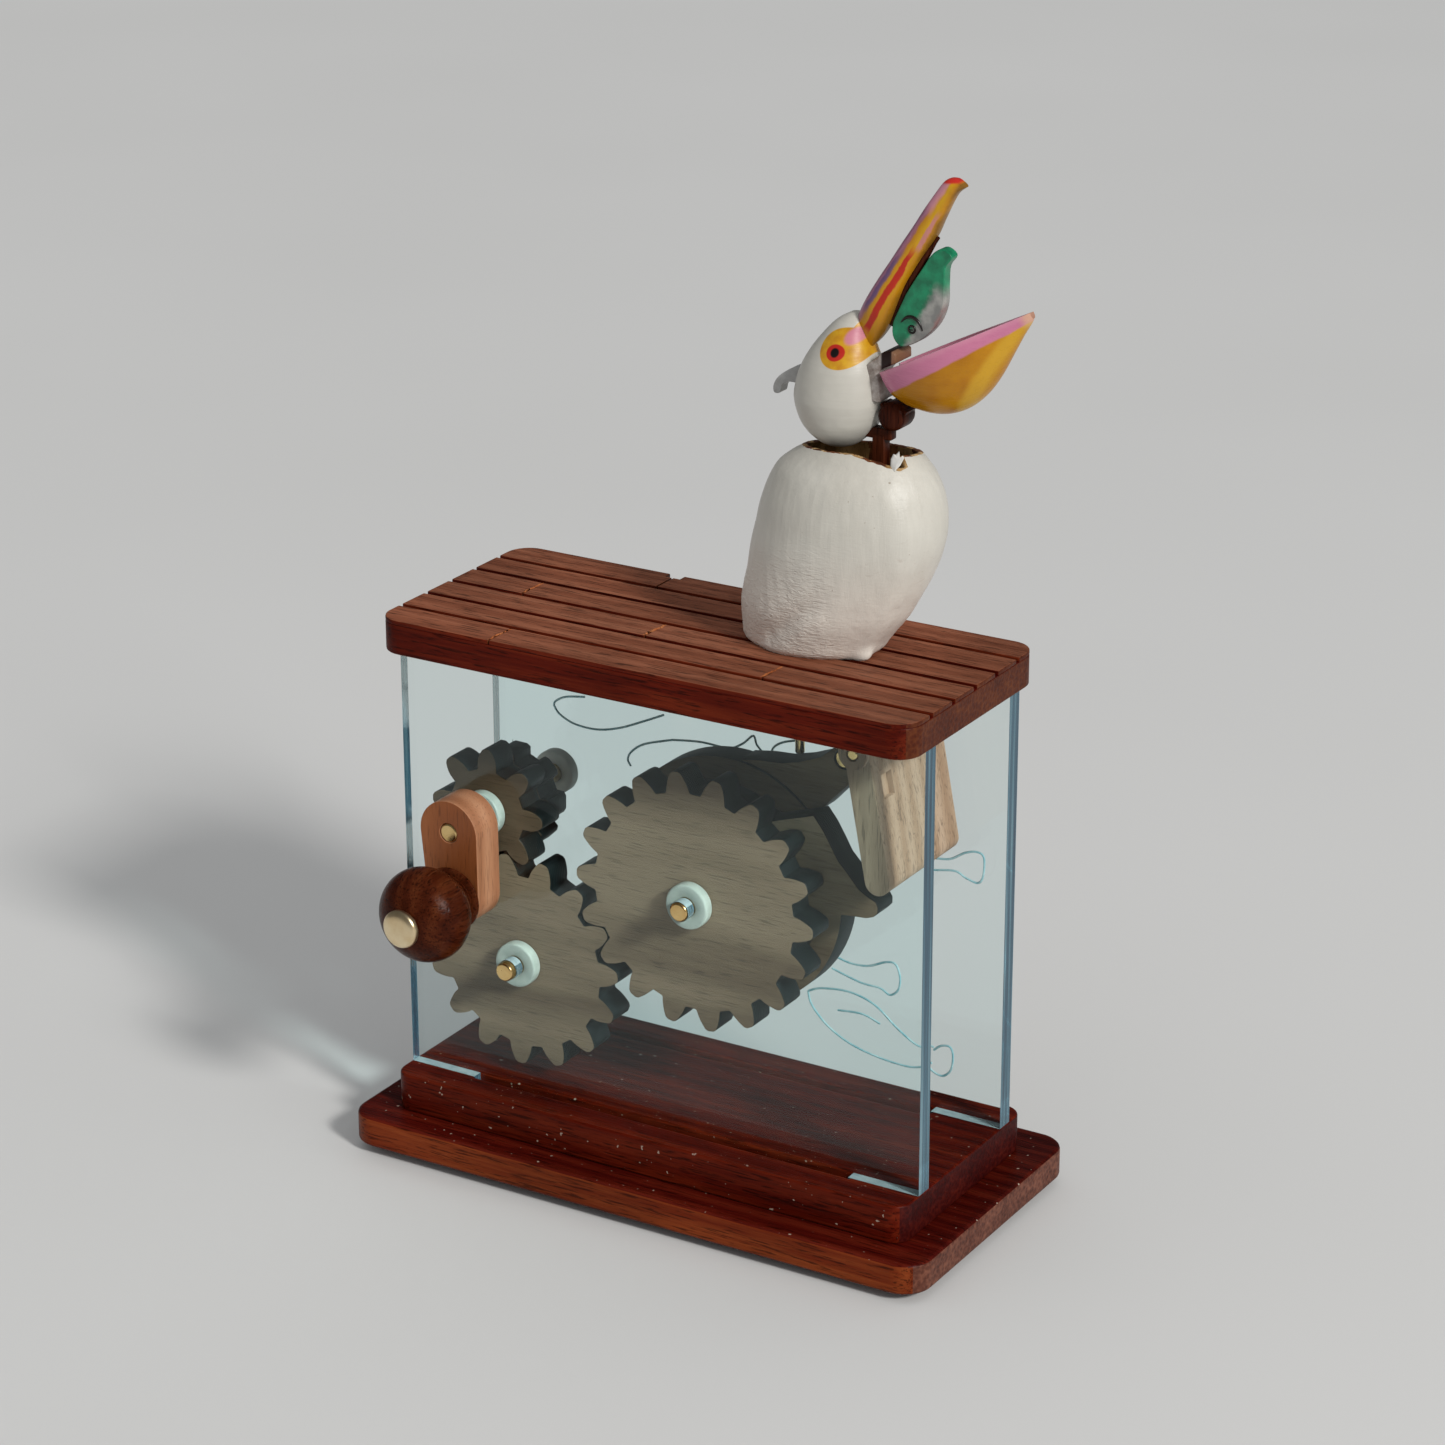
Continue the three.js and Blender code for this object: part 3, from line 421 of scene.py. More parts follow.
def lower_beak_paint(name):
    s = Shade(name, rough=0.28, specular=0.35)
    origin, direction, down = at(46.2, 0, 215.5), (0.893, 0, 0.45), (0.45, 0, -0.893)
    length = s.along(origin, direction)
    wobble = s.linear(s.noise(200, 3, 0.5), 0.9, -0.45)
    depth = s.math("ADD", s.along(origin, down), wobble)
    band = s.linear(length, -0.085, 4.9)
    edge = s.smooth(s.math("SUBTRACT", depth, band), -0.25, 0.35)
    pouch = s.mix(s.patches(0.35, 0.7, (110, 300, 110), 3, 0.5), (0.36, 0.135, 0.001), (0.46, 0.20, 0.002))
    # A lighter band along the pouch's keel: a painted highlight where the ridge catches the light.
    outer = s.math("ADD", s.times(length, 0.62), depth)
    streak = s.window(outer, 22.5, 24.5, 26.0, 28.0)
    pouch = s.over(pouch, streak, (0.60, 0.36, 0.025), 0.6)
    base = s.mix(edge, PINK, pouch)
    lip = s.smooth(depth, 1.0, -0.6)
    base = s.over(base, lip, (0.56, 0.24, 0.32), 0.6)
    tip = s.smooth(length, 38.5, 41.0)
    base = s.over(base, tip, (0.62, 0.42, 0.20), 0.6)
    return paint(s, base, (60, 900, 900), (0, -27, 0), 0.10, 0.22, 0.26)


def fish_paint(name):
    s = Shade(name, rough=0.3, specular=0.5)
    origin, direction, side = at(50.0, 0, 223.5), (0.45, 0, 0.89), (0.89, 0, -0.45)
    length = s.along(origin, direction)
    wobble = s.linear(s.noise(420, 4, 0.6), 3.4, -1.7)
    across = s.math("ADD", s.along(origin, side), wobble)
    belly = s.smooth(across, 0.6, 2.4)
    flecks = s.patches(0.4, 0.66, 330, 3, 0.5)
    green = s.mix(flecks, (0.003, 0.135, 0.060), (0.006, 0.235, 0.105))
    grey = s.mix(flecks, (0.20, 0.20, 0.19), (0.34, 0.335, 0.31))
    tail = s.smooth(length, 15.0, 19.0)
    base = s.mix(s.times(belly, s.math("SUBTRACT", 1.0, tail)), green, grey)
    edge = s.smooth(across, 5.0, 6.4)
    base = s.over(base, edge, (0.30, 0.16, 0.15), 0.75)
    return paint(s, base, (900, 900, 120), (0, 27, 0), 0.14, 0.3, 0.3)


def plain_paint(name, colour, other, gloss=0.4):
    s = Shade(name, rough=gloss, specular=0.4)
    return paint(s, s.mix(s.patches(0.35, 0.7, 300, 4, 0.6), colour, other), (700, 700, 80), (0, 20, 0), 0.1, 0.3,
                 gloss)


def cheek_block_paint(name):
    """Pale, rubbed paint on the left of the block; a near-black band of painted shade where the slot runs, and bare
    dark wood at its right.
    """
    s = Shade(name, rough=0.4, specular=0.3)
    cloud = s.noise(520, 4, 0.6)
    pale = s.ramp(cloud, [(0.3, (0.16, 0.12, 0.10)), (0.5, (0.30, 0.26, 0.235)), (0.7, (0.46, 0.42, 0.39))])
    x = s.along(at(0, 0, 0), (1, 0, 0))
    # A near-black band where the slot runs: painted shade standing in for the gap between the cheeks.
    slot = s.window(x, 46.0, 46.7, 49.0, 49.6)
    base = s.mix(slot, pale, (0.012, 0.004, 0.003))
    wood = s.smooth(x, 48.8, 49.4)
    base = s.mix(wood, base, (0.20, 0.10, 0.055))
    return paint(s, base, (700, 700, 80), (0, 20, 0), 0.1, 0.35, 0.4)


# The plinth's red-brown wood: dark, middle and light.
DARK, RED_WOOD, GLOW = (0.024, 0.0012, 0.0005), (0.088, 0.0055, 0.0015), (0.18, 0.022, 0.006)

# Lists hold one material for each kind of face: a board's top, sides, ends and groove floor; a plate's face and rim.
M = {
    "deck": [varnished_wood("deck_wood", "x", (0.125, 0.036, 0.017), (0.205, 0.066, 0.033), (0.31, 0.118, 0.064), 0.42,
                            (0, 0, 0), 1.0),
             varnished_wood("deck_side_wood", "x", (0.030, 0.0016, 0.0006), (0.075, 0.0055, 0.0015),
                            (0.15, 0.022, 0.006), 0.42, (3, 1, 2)),
             end_grain("deck_end_wood", (0.030, 0.0045, 0.0012), (0.068, 0.012, 0.0025), (0.12, 0.032, 0.008)),
             varnished_wood("deck_groove_wood", "x", (0.020, 0.0008, 0.0005), (0.045, 0.0018, 0.001),
                            (0.085, 0.005, 0.002), 0.30, (8, 3, 1))],
    "plinth": [varnished_wood("plinth_wood", "x", DARK, RED_WOOD, GLOW, 0.30, (5, 4, 3), 0.85, 0.5),
               varnished_wood("plinth_side_wood", "x", DARK, RED_WOOD, GLOW, 0.30, (5, 4, 3), 0.85, 0.7),
               end_grain("plinth_end_wood", (0.015, 0.0006, 0.0004), (0.036, 0.0012, 0.0008), (0.08, 0.007, 0.003))],
    "base": [varnished_wood("base_wood", "x", (0.020, 0.0015, 0.0008), (0.060, 0.0035, 0.0018), (0.13, 0.015, 0.006),
                            0.30, (9, 2, 7), 0.95, 0.7),
             varnished_wood("base_side_wood", "x", (0.038, 0.003, 0.001), (0.125, 0.016, 0.0035), (0.25, 0.055, 0.013),
                            0.34, (9, 2, 7), 0.95),
             end_grain("base_end_wood", (0.035, 0.009, 0.005), (0.095, 0.030, 0.018), (0.20, 0.075, 0.045))],
    "scribe": varnished_wood("scribe_wood", "x", (0.18, 0.040, 0.012), (0.32, 0.095, 0.032), (0.46, 0.18, 0.07), 0.5),
    "gear": bare_wood("gear_ply", "x", (0.14, 0.088, 0.054), (0.235, 0.158, 0.102), (0.325, 0.225, 0.15), 0.6, 0.4),
    # The pinions' ply is darker than the other wheels: painted shade for the shadow that the deck and crank arm cast on
    # them.
    "pinion": bare_wood("pinion_ply_painted_shade", "x", (0.035, 0.022, 0.012), (0.085, 0.052, 0.030), (0.15, 0.096, 0.06), 0.6, 0.4),
    "cam": bare_wood("cam_ply", "x", (0.12, 0.085, 0.048), (0.20, 0.152, 0.092), (0.29, 0.23, 0.15), 0.6, 0.4,
                     shift=(2, 5, 1)),
    "burnt": burnt_and_shaded_edge("burnt_and_shaded_edge"),
    "paddle": bare_wood("paddle_wood", "z", (0.34, 0.225, 0.14), (0.42, 0.30, 0.20), (0.50, 0.375, 0.265), 0.55,
                        0.35, True),
    "paddle_end": bare_wood("paddle_end_wood", "z", (0.30, 0.20, 0.13), (0.38, 0.275, 0.185), (0.46, 0.35, 0.25),
                            0.55, 0.4),
    "arm": [bare_wood("arm_wood", "z", (0.20, 0.058, 0.017), (0.26, 0.082, 0.025), (0.33, 0.115, 0.042), 0.36, 0.35),
            bare_wood("arm_side_wood", "z", (0.31, 0.13, 0.062), (0.40, 0.185, 0.095), (0.48, 0.25, 0.14), 0.4, 0.3)],
    "knob": varnished_wood("knob_wood", "y", (0.018, 0.0028, 0.001), (0.048, 0.009, 0.0028), (0.10, 0.026, 0.008),
                           0.2, (1, 7, 2), 1.0),
    "post": varnished_wood("post_wood", "z", (0.010, 0.0016, 0.0008), (0.040, 0.0075, 0.003), (0.10, 0.026, 0.010),
                           0.3),
    "brass": metal("brass", (0.80, 0.58, 0.26), (0.62, 0.40, 0.15), 0.2),
    "pale_brass": metal("pale_brass", (0.86, 0.72, 0.48), (0.72, 0.54, 0.30), 0.28),
    "nylon": nylon("nylon"),
    "cork": cork("cork_feet"),
    "sheet": clear_sheet("clear_acrylic", (0.90, 1.0, 1.0)),
    "edge": sheet_edge("acrylic_edge"),
    "sheet_foot": plain_paint("acrylic_foot", (0.42, 0.52, 0.54), (0.30, 0.40, 0.43), 0.2),
    "body": white_body("white_body_paint"),
    "raw": bare_wood("carved_inside_wood", "z", (0.20, 0.105, 0.035), (0.36, 0.22, 0.09), (0.50, 0.34, 0.17), 0.6, 0.5),
    "lip": bare_wood("carved_lip_wood", "x", (0.05, 0.012, 0.004), (0.11, 0.030, 0.009), (0.20, 0.075, 0.022), 0.55),
    "head": head_paint("head_paint"),
    "upper": upper_beak_paint("upper_beak_paint"),
    "lower": lower_beak_paint("lower_beak_paint"),
    "fish": fish_paint("fish_paint"),
    "crest": plain_paint("crest_paint", (0.38, 0.38, 0.37), (0.26, 0.25, 0.24)),
    "block": cheek_block_paint("cheek_block_paint"),
    "black": plain_paint("black_paint", BLACK, (0.014, 0.010, 0.009), 0.3),
    "flake": plain_paint("flake_paint", (0.66, 0.65, 0.62), (0.55, 0.53, 0.49)),
    "mark": plain_paint("engraved_line", (0.42, 0.66, 0.69), (0.16, 0.42, 0.48), 0.2),
}


# ---------------------------------------------------------------- piece helpers
def place(obj, body, slot, *nodes):
    """Puts a piece on its body, in place of the nodes named; the slot is not used."""
    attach(obj, body)
    if nodes:
        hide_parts(*nodes)
    return obj


def add_object(name, data):
    obj = bpy.data.objects.new(name, data)
    bpy.context.scene.collection.objects.link(obj)
    return obj


def set_materials(me, mats):
    me.materials.clear()
    for m in mats if isinstance(mats, (list, tuple)) else [mats]:
        me.materials.append(m)


def mesh_object(name, verts, faces, mats, smooth_deg=40):
    me = bpy.data.meshes.new(name)
    me.from_pydata([tuple(v) for v in verts], [], faces)
    me.validate()
    set_materials(me, mats)
    obj = add_object(name, me)
    finish_normals(me, smooth_deg)
    return obj


def finish_normals(me, smooth_deg):
    bm = bmesh.new()
    bm.from_mesh(me)
    bmesh.ops.recalc_face_normals(bm, faces=bm.faces)
    bm.to_mesh(me)
    bm.free()
    me.shade_smooth()
    me.set_sharp_from_angle(angle=math.radians(smooth_deg))


def grid_faces(rows, columns, wrap=True):
    faces = []
    for i in range(rows - 1):
        for j in range(columns if wrap else columns - 1):
            k = (j + 1) % columns
            faces.append((i * columns + j, i * columns + k, (i + 1) * columns + k, (i + 1) * columns + j))
    return faces


def ring_skin(name, rings, mats, smooth_deg=60):
    """A closed skin through rings of equal point counts, with a fan over each end."""
    n = len(rings[0])
    verts = [p for ring in rings for p in ring]
    faces = grid_faces(len(rings), n)
    for row in (0, len(rings) - 1):
        middle = sum((Vector(p) for p in rings[row]), Vector()) / n
        verts.append(middle)
        hub = len(verts) - 1
        faces += [(row * n + j, row * n + (j + 1) % n, hub) for j in range(n)]
    return mesh_object(name, verts, faces, mats, smooth_deg)


def ease_edges(obj, bevel, segments, angle):
    """Rounds the edges sharper than an angle; flats stay flat."""
    rough = obj.data
    mod = obj.modifiers.new("edge", "BEVEL")
    mod.width = bevel * MM
    mod.segments = segments
    mod.limit_method = "ANGLE"
    mod.angle_limit = math.radians(angle)
    done = bpy.data.meshes.new_from_object(obj.evaluated_get(bpy.context.evaluated_depsgraph_get()))
    obj.modifiers.clear()
    obj.data = done
    bpy.data.meshes.remove(rough)
    done.name = obj.name
    done.shade_smooth()
    done.set_sharp_from_angle(angle=math.radians(33))
    keep_flats_flat(done)
    return done


def refined(node, name, mats, bevel=0.35, segments=2, sort=None, angle=24, merge=True):
    """The CAD node's own shape with its edges softened. sort(normal) picks each face's material."""
    bm = bmesh.new()
    bm.from_mesh(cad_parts[node].data)
    bmesh.ops.remove_doubles(bm, verts=bm.verts, dist=1e-6)
    if merge:
        bmesh.ops.dissolve_limit(bm, angle_limit=math.radians(0.6), verts=bm.verts, edges=bm.edges)
    me = bpy.data.meshes.new(name)
    bm.to_mesh(me)
    bm.free()
    obj = add_object(name, me)
    done = ease_edges(obj, bevel, segments, angle)
    set_materials(done, mats)
    sort_faces(done, sort)
    return obj


def sort_faces(me, sort):
    if sort:
        for p in me.polygons:
            p.material_index = sort(p.normal)


def keep_flats_flat(me, least=40 * MM * MM):
    """Large faces square to an axis take no part in the smoothing of the edges round them."""
    for p in me.polygons:
        if p.area > least and max(abs(c) for c in p.normal) > 0.9999:
            p.use_smooth = False


def node_piece(node, name, body, slot, mats, **options):
    return place(refined(node, name, mats, **options), body, slot, node)


def brass_rod(node, name, body, bevel=0.15):
    return node_piece(node, name, body, "brass", M["brass"], bevel=bevel)


def flat_or_rim(normal):
    """0 on the faces of a plate square to Y, 1 round its rim."""
    return 0 if abs(normal.y) > 0.75 else 1


def board_side(normal):
    """0 on the top and bottom of a board, 1 along its long sides, 2 across its ends."""
    if abs(normal.z) > 0.7:
        return 0
    return 2 if abs(normal.x) > 0.72 else 1


def circle(sides):
    """Angles round a full turn."""
    return [2 * math.pi * j / sides for j in range(sides)]


def tube(name, points, radius, mat, sides=8, closed=False):
    """A round strip along points, as a mesh."""
    points = [Vector(p) for p in points]
    rings = []
    count = len(points)
    for i, p in enumerate(points):
        a = points[(i - 1) % count] if closed or i else p
        b = points[(i + 1) % count] if closed or i + 1 < count else p
        d = (b - a).normalized()
        u = d.cross(Vector((0, 1, 0)))
        u = u.normalized() if u.length > 1e-6 else Vector((1, 0, 0))
        v = d.cross(u).normalized()
        r = radius if isinstance(radius, (int, float)) else radius[i]
        rings.append([p + (u * math.cos(t) + v * math.sin(t)) * r * MM for t in circle(sides)])
    if closed:
        verts = [p for ring in rings for p in ring]
        faces = grid_faces(count, sides)
        last = (count - 1) * sides
        faces += [(last + j, last + (j + 1) % sides, (j + 1) % sides, j) for j in range(sides)]
        return mesh_object(name, verts, faces, mat, 60)
    return ring_skin(name, rings, mat)


def smooth_curve(points, steps):
    """Catmull-Rom through the points."""
    pts = [np.array(p, float) for p in points]
    n = len(pts)
    spans = n - 1
    out = []
    for k in range(steps + 1):
        t = k / steps * spans
        i = min(int(t), spans - 1)
        f = t - i
        p0, p1, p2, p3 = (pts[min(max(i + d, 0), n - 1)] for d in (-1, 0, 1, 2))
        out.append(0.5 * (2 * p1 + (p2 - p0) * f + (2 * p0 - 5 * p1 + 4 * p2 - p3) * f * f
                          + (3 * p1 - p0 - 3 * p2 + p3) * f ** 3))
    return out


# ---------------------------------------------------------------- case
for i in (1, 2, 3, 4):
    node_piece(f"foot_{i}", f"foot_pad_{i}", "case", "felt", M["cork"], bevel=0.5)
node_piece("base_board", "base_board_wood", "case", "dark_wood", M["base"], bevel=0.9, segments=3, sort=board_side)
node_piece("plinth", "plinth_board_wood", "case", "dark_wood", M["plinth"], bevel=0.8, segments=3, sort=board_side)

DECK_LO, DECK_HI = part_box("deck")
PLANKS = 6
GROOVE = 1.5 * MM
GROOVE_DEEP = 1.0 * MM
DECK_CORNER = 6.3 * MM
NOTCH_X, NOTCH_WIDE, NOTCH_DEEP = -27.5 * MM, 4.2 * MM, 2.4 * MM
# Where each plank row has a cross cut, from the front row to the back row (X, mm from the middle).
CROSS_CUTS = [(-41.5,), (28.9,), (-10.7,), (-53.6,), (), (-27.5,)]
HALF_CUT = 0.18 * MM  # half the width of a cross cut


def deck_outline():
    cx, cy = (DECK_HI.x - DECK_CORNER), (DECK_HI.y - DECK_LO.y) / 2 - DECK_CORNER
    points = []
    for sx, sy, start in ((1, 1, 0), (-1, 1, 90), (-1, -1, 180), (1, -1, 270)):
        for k in range(9):
            a = math.radians(start + 90 * k / 8)
            points.append((sx * cx + DECK_CORNER * math.cos(a), sy * cy + DECK_CORNER * math.sin(a)))
        if (sx, sy) == (1, 1):
            top = cy + DECK_CORNER
            right, left = NOTCH_X + NOTCH_WIDE / 2, NOTCH_X - NOTCH_WIDE / 2
            points += [(right, top), (right, top - NOTCH_DEEP), (left, top - NOTCH_DEEP), (left, top)]
    return points


def clip(points, axis, limit, keep_above):
    inside = lambda p: (p[axis] >= limit) if keep_above else (p[axis] <= limit)
    out = []
    for a, b in zip(points, points[1:] + points[:1]):
        if inside(a):
            out.append(a)
        if inside(a) != inside(b):
            t = (limit - a[axis]) / (b[axis] - a[axis])
            out.append(tuple(a[k] + (b[k] - a[k]) * t for k in (0, 1)))
    return out


def prism(name, outline, z0, z1, mats, bevel=0.3, segments=2, middle_y=0.0):
    clean = [p for i, p in enumerate(outline) if math.dist(p, outline[i - 1]) > 1e-6]
    n = len(clean)
    verts = [(x, y + middle_y, z0) for x, y in clean] + [(x, y + middle_y, z1) for x, y in clean]
    faces = [tuple(range(n))[::-1], tuple(range(n, 2 * n))]
    faces += [(i, (i + 1) % n, n + (i + 1) % n, n + i) for i in range(n)]
    obj = mesh_object(name, verts, faces, mats)
    ease_edges(obj, bevel, segments, 30)
    return obj


def scratch(name, x, y):
    """A short ragged scratch across one plank, with bare wood showing."""
    top = DECK_HI.z / MM
    points, radii = [], []
    for k in range(9):
        t = k / 8 - 0.5
        points.append(at(x + 0.5 * noise.noise(Vector((x, t * 9, 1))) + 0.9 * t, y + 9.0 * t, top - 0.05))
        radii.append(0.22 + 0.30 * abs(noise.noise(Vector((x * 0.7, t * 14, 5)))))
    radii[0] = radii[-1] = 0.08
    place(tube(name, points, radii, M["scribe"], 7), "case", "dark_wood")


def build_deck():
    middle = (DECK_LO.y + DECK_HI.y) / 2
    outline = deck_outline()
    seam = DECK_HI.z - GROOVE_DEEP
    core = prism("deck_board", outline, DECK_LO.z, seam, M["deck"], 0.5, 3, middle)
    sort_faces(core.data, lambda normal: 3 if normal.z > 0.7 else board_side(normal))
    place(core, "case", "dark_wood", "deck")
    width = DECK_HI.y - DECK_LO.y
    for row in range(PLANKS):
        y0 = -width / 2 + row * width / PLANKS + (GROOVE / 2 if row else 0)
        y1 = -width / 2 + (row + 1) * width / PLANKS - (GROOVE / 2 if row < PLANKS - 1 else 0)
        strip = clip(clip(outline, 1, y0, True), 1, y1, False)
        cuts = [DECK_LO.x - 1] + [c * MM for c in CROSS_CUTS[row]] + [DECK_HI.x + 1]
        for k, (x0, x1) in enumerate(zip(cuts, cuts[1:])):
            board = clip(clip(strip, 0, x0 + HALF_CUT, True), 0, x1 - HALF_CUT, False)
            piece = prism(f"deck_plank_{row + 1}_{k + 1}", board, seam - 0.0002, DECK_HI.z, M["deck"], 0.28, 2, middle)
            sort_faces(piece.data, board_side)
            place(piece, "case", "dark_wood")
        if row < 4:
            scratch(f"deck_scratch_{row + 1}", CROSS_CUTS[row][0], (y0 + y1) / 2 / MM + middle / MM - SHIFT_Y / MM)


build_deck()


def build_plates():
    """The clear sheets keep their sawn corners crisp; edges and feet take their own looks."""
    for node in ("front_plate", "back_plate"):
        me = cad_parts[node].data.copy()
        me.name = node + "_sheet"
        set_materials(me, [M["sheet"], M["edge"], M["sheet_foot"]])
        me.shade_flat()
        sort_faces(me, lambda n: 0 if abs(n.y) > 0.6 else 2 if abs(n.z) > 0.6 else 1)
        place(add_object(me.name, me), "case", "acrylic", node)


build_plates()

# Fish outlines cut into the inner face of the back sheet: X and Z in mm.
FISH_CUTS = [
    [(-55.2, 109.5), (-53.4, 107.3), (-48.9, 105.5), (-42.2, 105.3), (-35.2, 107.1), (-27.6, 110.5), (-22.0, 113.2)],
    [(-55.2, 109.5), (-54.6, 110.7), (-51.5, 112.4), (-45.7, 113.5)],
    [(-19.6, 106.9), (-27.7, 104.2), (-31.6, 101.5), (-32.9, 99.1), (-32.0, 97.3)],
    [(-19.6, 106.9), (-11.3, 108.0), (-3.1, 108.0), (1.0, 109.9), (4.2, 112.7), (5.3, 110.5), (7.4, 108.5)],
    [(12.0, 105.7), (10.0, 108.2), (10.0, 110.6), (13.4, 112.9), (20.6, 114.8), (27.7, 115.7)],
    [(54.7, 89.8), (59.2, 90.5), (63.3, 93.0), (66.6, 93.9), (68.5, 92.8), (68.4, 88.0), (67.0, 85.8), (63.7, 86.4),
     (60.6, 87.6), (54.8, 86.6)],
    [(27.6, 58.3), (32.5, 57.2), (37.7, 57.6), (42.8, 59.8), (45.6, 59.7), (46.8, 56.4), (46.3, 53.0), (44.0, 51.1),
     (41.2, 52.3), (36.0, 52.5), (31.1, 53.6), (27.3, 54.6)],
    [(20.4, 46.7), (21.6, 43.0), (26.3, 38.3), (33.0, 34.9), (41.4, 33.1), (50.0, 32.7), (55.1, 34.2)],
    [(20.4, 46.7), (24.5, 48.4), (32.6, 49.2), (39.8, 47.3), (45.9, 42.7), (51.3, 39.4), (55.6, 38.7)],
    [(29.1, 43.4), (36.1, 44.0), (41.3, 42.5)],
    [(55.6, 37.9), (57.6, 39.5), (60.1, 39.8), (61.0, 37.6), (60.5, 33.6), (58.3, 31.4), (55.7, 31.8), (54.0, 33.1)],
]


def build_fish_cuts():
    inner = (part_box("back_plate")[0].y - SHIFT_Y) / MM
    for i, line in enumerate(FISH_CUTS):
        points = [at(x, inner, z) for x, z in smooth_curve(line, 10 * len(line))]
        place(tube(f"engraved_fish_{i + 1}", points, 0.3, M["mark"], 6), "case", "acrylic")


build_fish_cuts()


# ---------------------------------------------------------------- gear train
def washer(node, name, body, bore=2.65 * MM, sides=64):
    """A turned ring with rounded rims and a slight dish."""
    lo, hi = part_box(node)
    mid = (lo + hi) / 2
    r, soft = (hi.x - lo.x) / 2, 0.55 * MM
    profile = [(bore, lo.y + 0.0002), (bore + 0.0003, lo.y), (r * 0.8, lo.y), (r - soft, lo.y + 0.00003)]
    profile += [(r - soft + soft * math.sin(a), lo.y + soft - soft * math.cos(a)) for a in (0.5, 0.9, 1.3, 1.57)]
    profile += [(r - soft + soft * math.cos(a), hi.y - soft + soft * math.sin(a)) for a in (0.0, 0.4, 0.8, 1.2)]
    profile += [(r - soft, hi.y), (bore + 0.0003, hi.y), (bore, hi.y - 0.0002)]
    n = len(profile)
    verts = [(mid.x + pr * math.cos(t), y, mid.z + pr * math.sin(t))
             for t in circle(sides) for pr, y in profile]
    faces = [(i * n + j, i * n + (j + 1) % n, (i + 1) % sides * n + (j + 1) % n, (i + 1) % sides * n + j)
             for i in range(sides) for j in range(n)]
    place(mesh_object(name, verts, faces, M["nylon"], 40), body, "nylon", node)


def build_train():
    """Wheels, cams, lever and paddle with their rods and washers."""
    for node, kind, body, ply, bevel in (
            ("cam_gear", "wheel", "cam_stack", "gear", 0.2), ("idler_gear", "wheel", "idler", "gear", 0.2),
            ("pinion", "wheel", "crank", "pinion", 0.2), ("pinion_rear", "wheel", "crank", "pinion", 0.2),
            ("finger_cam", "plate", "cam_stack", "cam", 0.25), ("disc_cam", "plate", "cam_stack", "cam", 0.25),
            ("follower_lever", "plate", "lever", "cam", 0.3)):
        node_piece(node, f"{node}_{kind}", body, "ply", [M[ply], M["burnt"]], bevel=bevel, sort=flat_or_rim, angle=75)
    for axis, body in (("cam", "cam_stack"), ("idler", "idler"), ("crank", "crank")):
        brass_rod(f"{axis}_shaft", f"{axis}_shaft_rod", body)
        for end in ("front", "back"):
            washer(f"{axis}_spacer_{end}", f"{axis}_washer_{end}", body)
    brass_rod("lever_pin", "lever_pin_rod", "case")
    washer("lever_spacer", "lever_washer", "case")
    brass_rod("paddle_pin", "paddle_pin_rod", "case")
    for end in ("front", "back"):
        node_piece(f"paddle_hanger_{end}", f"paddle_hanger_{end}_block", "case", "light_wood", M["paddle_end"],
                   bevel=0.4)
    node_piece("paddle", "paddle_board", "paddle_swinger", "light_wood", [M["paddle_end"], M["paddle"]], bevel=0.6,
               merge=False, segments=3, sort=flat_or_rim)
    brass_rod("head_rod", "head_push_wire", "head_push_rod", 0.12)
    brass_rod("jaw_rod", "jaw_pull_wire", "jaw_pull_rod", 0.12)


build_train()


# ---------------------------------------------------------------- crank
def lathe_y(name, centre_point, profile, mats, sides=72, smooth_deg=50):
    """A turned piece about a Y axis: profile points are (radius, y) in metres."""
    rings = []
    for r, y in profile:
        rings.append([(centre_point.x + max(r, 2e-5) * math.cos(t), y, centre_point.z + max(r, 2e-5) * math.sin(t))
                      for t in circle(sides)])
    return ring_skin(name, rings, mats, smooth_deg)


def build_crank():
    node_piece("crank_arm", "crank_arm_wood", "crank", "arm_wood", M["arm"], bevel=1.0, segments=4,
               sort=flat_or_rim)
    lo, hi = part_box("knob")
    axis = (lo + hi) / 2
    r = (hi.x - lo.x) / 2
    back, front = hi.y, lo.y
    belly = front + r * 0.80
    profile = [(r * 0.18, back), (r * 0.64, back), (r * 0.68, back - 0.00035), (r * 0.68, back - 0.0010),
               (r * 0.63, back - 0.0014), (r * 0.565, back - 0.0016), (r * 0.555, back - 0.0020),
               (r * 0.60, back - 0.0024)]
    for k in range(25):
        a = math.radians(50 - 116 * k / 24)
        profile.append((r * math.cos(a), belly + r * 0.80 * math.sin(a)))
    profile += [(r * 0.30, front + 0.0002), (r * 0.18, front + 0.0001)]
    place(lathe_y("crank_knob", axis, profile, M["knob"]), "knob_grip", "knob_wood", "knob")
    lo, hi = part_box("knob_pin")
    axis = (lo + hi) / 2
    head = (hi.x - lo.x) / 2
    y = lo.y
    profile = [(0, y), (head * 0.45, y + 0.00003), (head * 0.72, y + 0.0002), (head * 0.9, y + 0.00055),
               (head * 0.985, y + 0.0010), (head, y + 0.0015), (head * 0.99, y + 0.0021), (head * 0.8, y + 0.0023),
               (head * 0.42, y + 0.0024), (head * 0.41, hi.y - 0.0003), (head * 0.36, hi.y), (0, hi.y)]
    place(lathe_y("crank_knob_pin", axis, profile, M["pale_brass"], 56), "crank", "brass", "knob_pin")


build_crank()

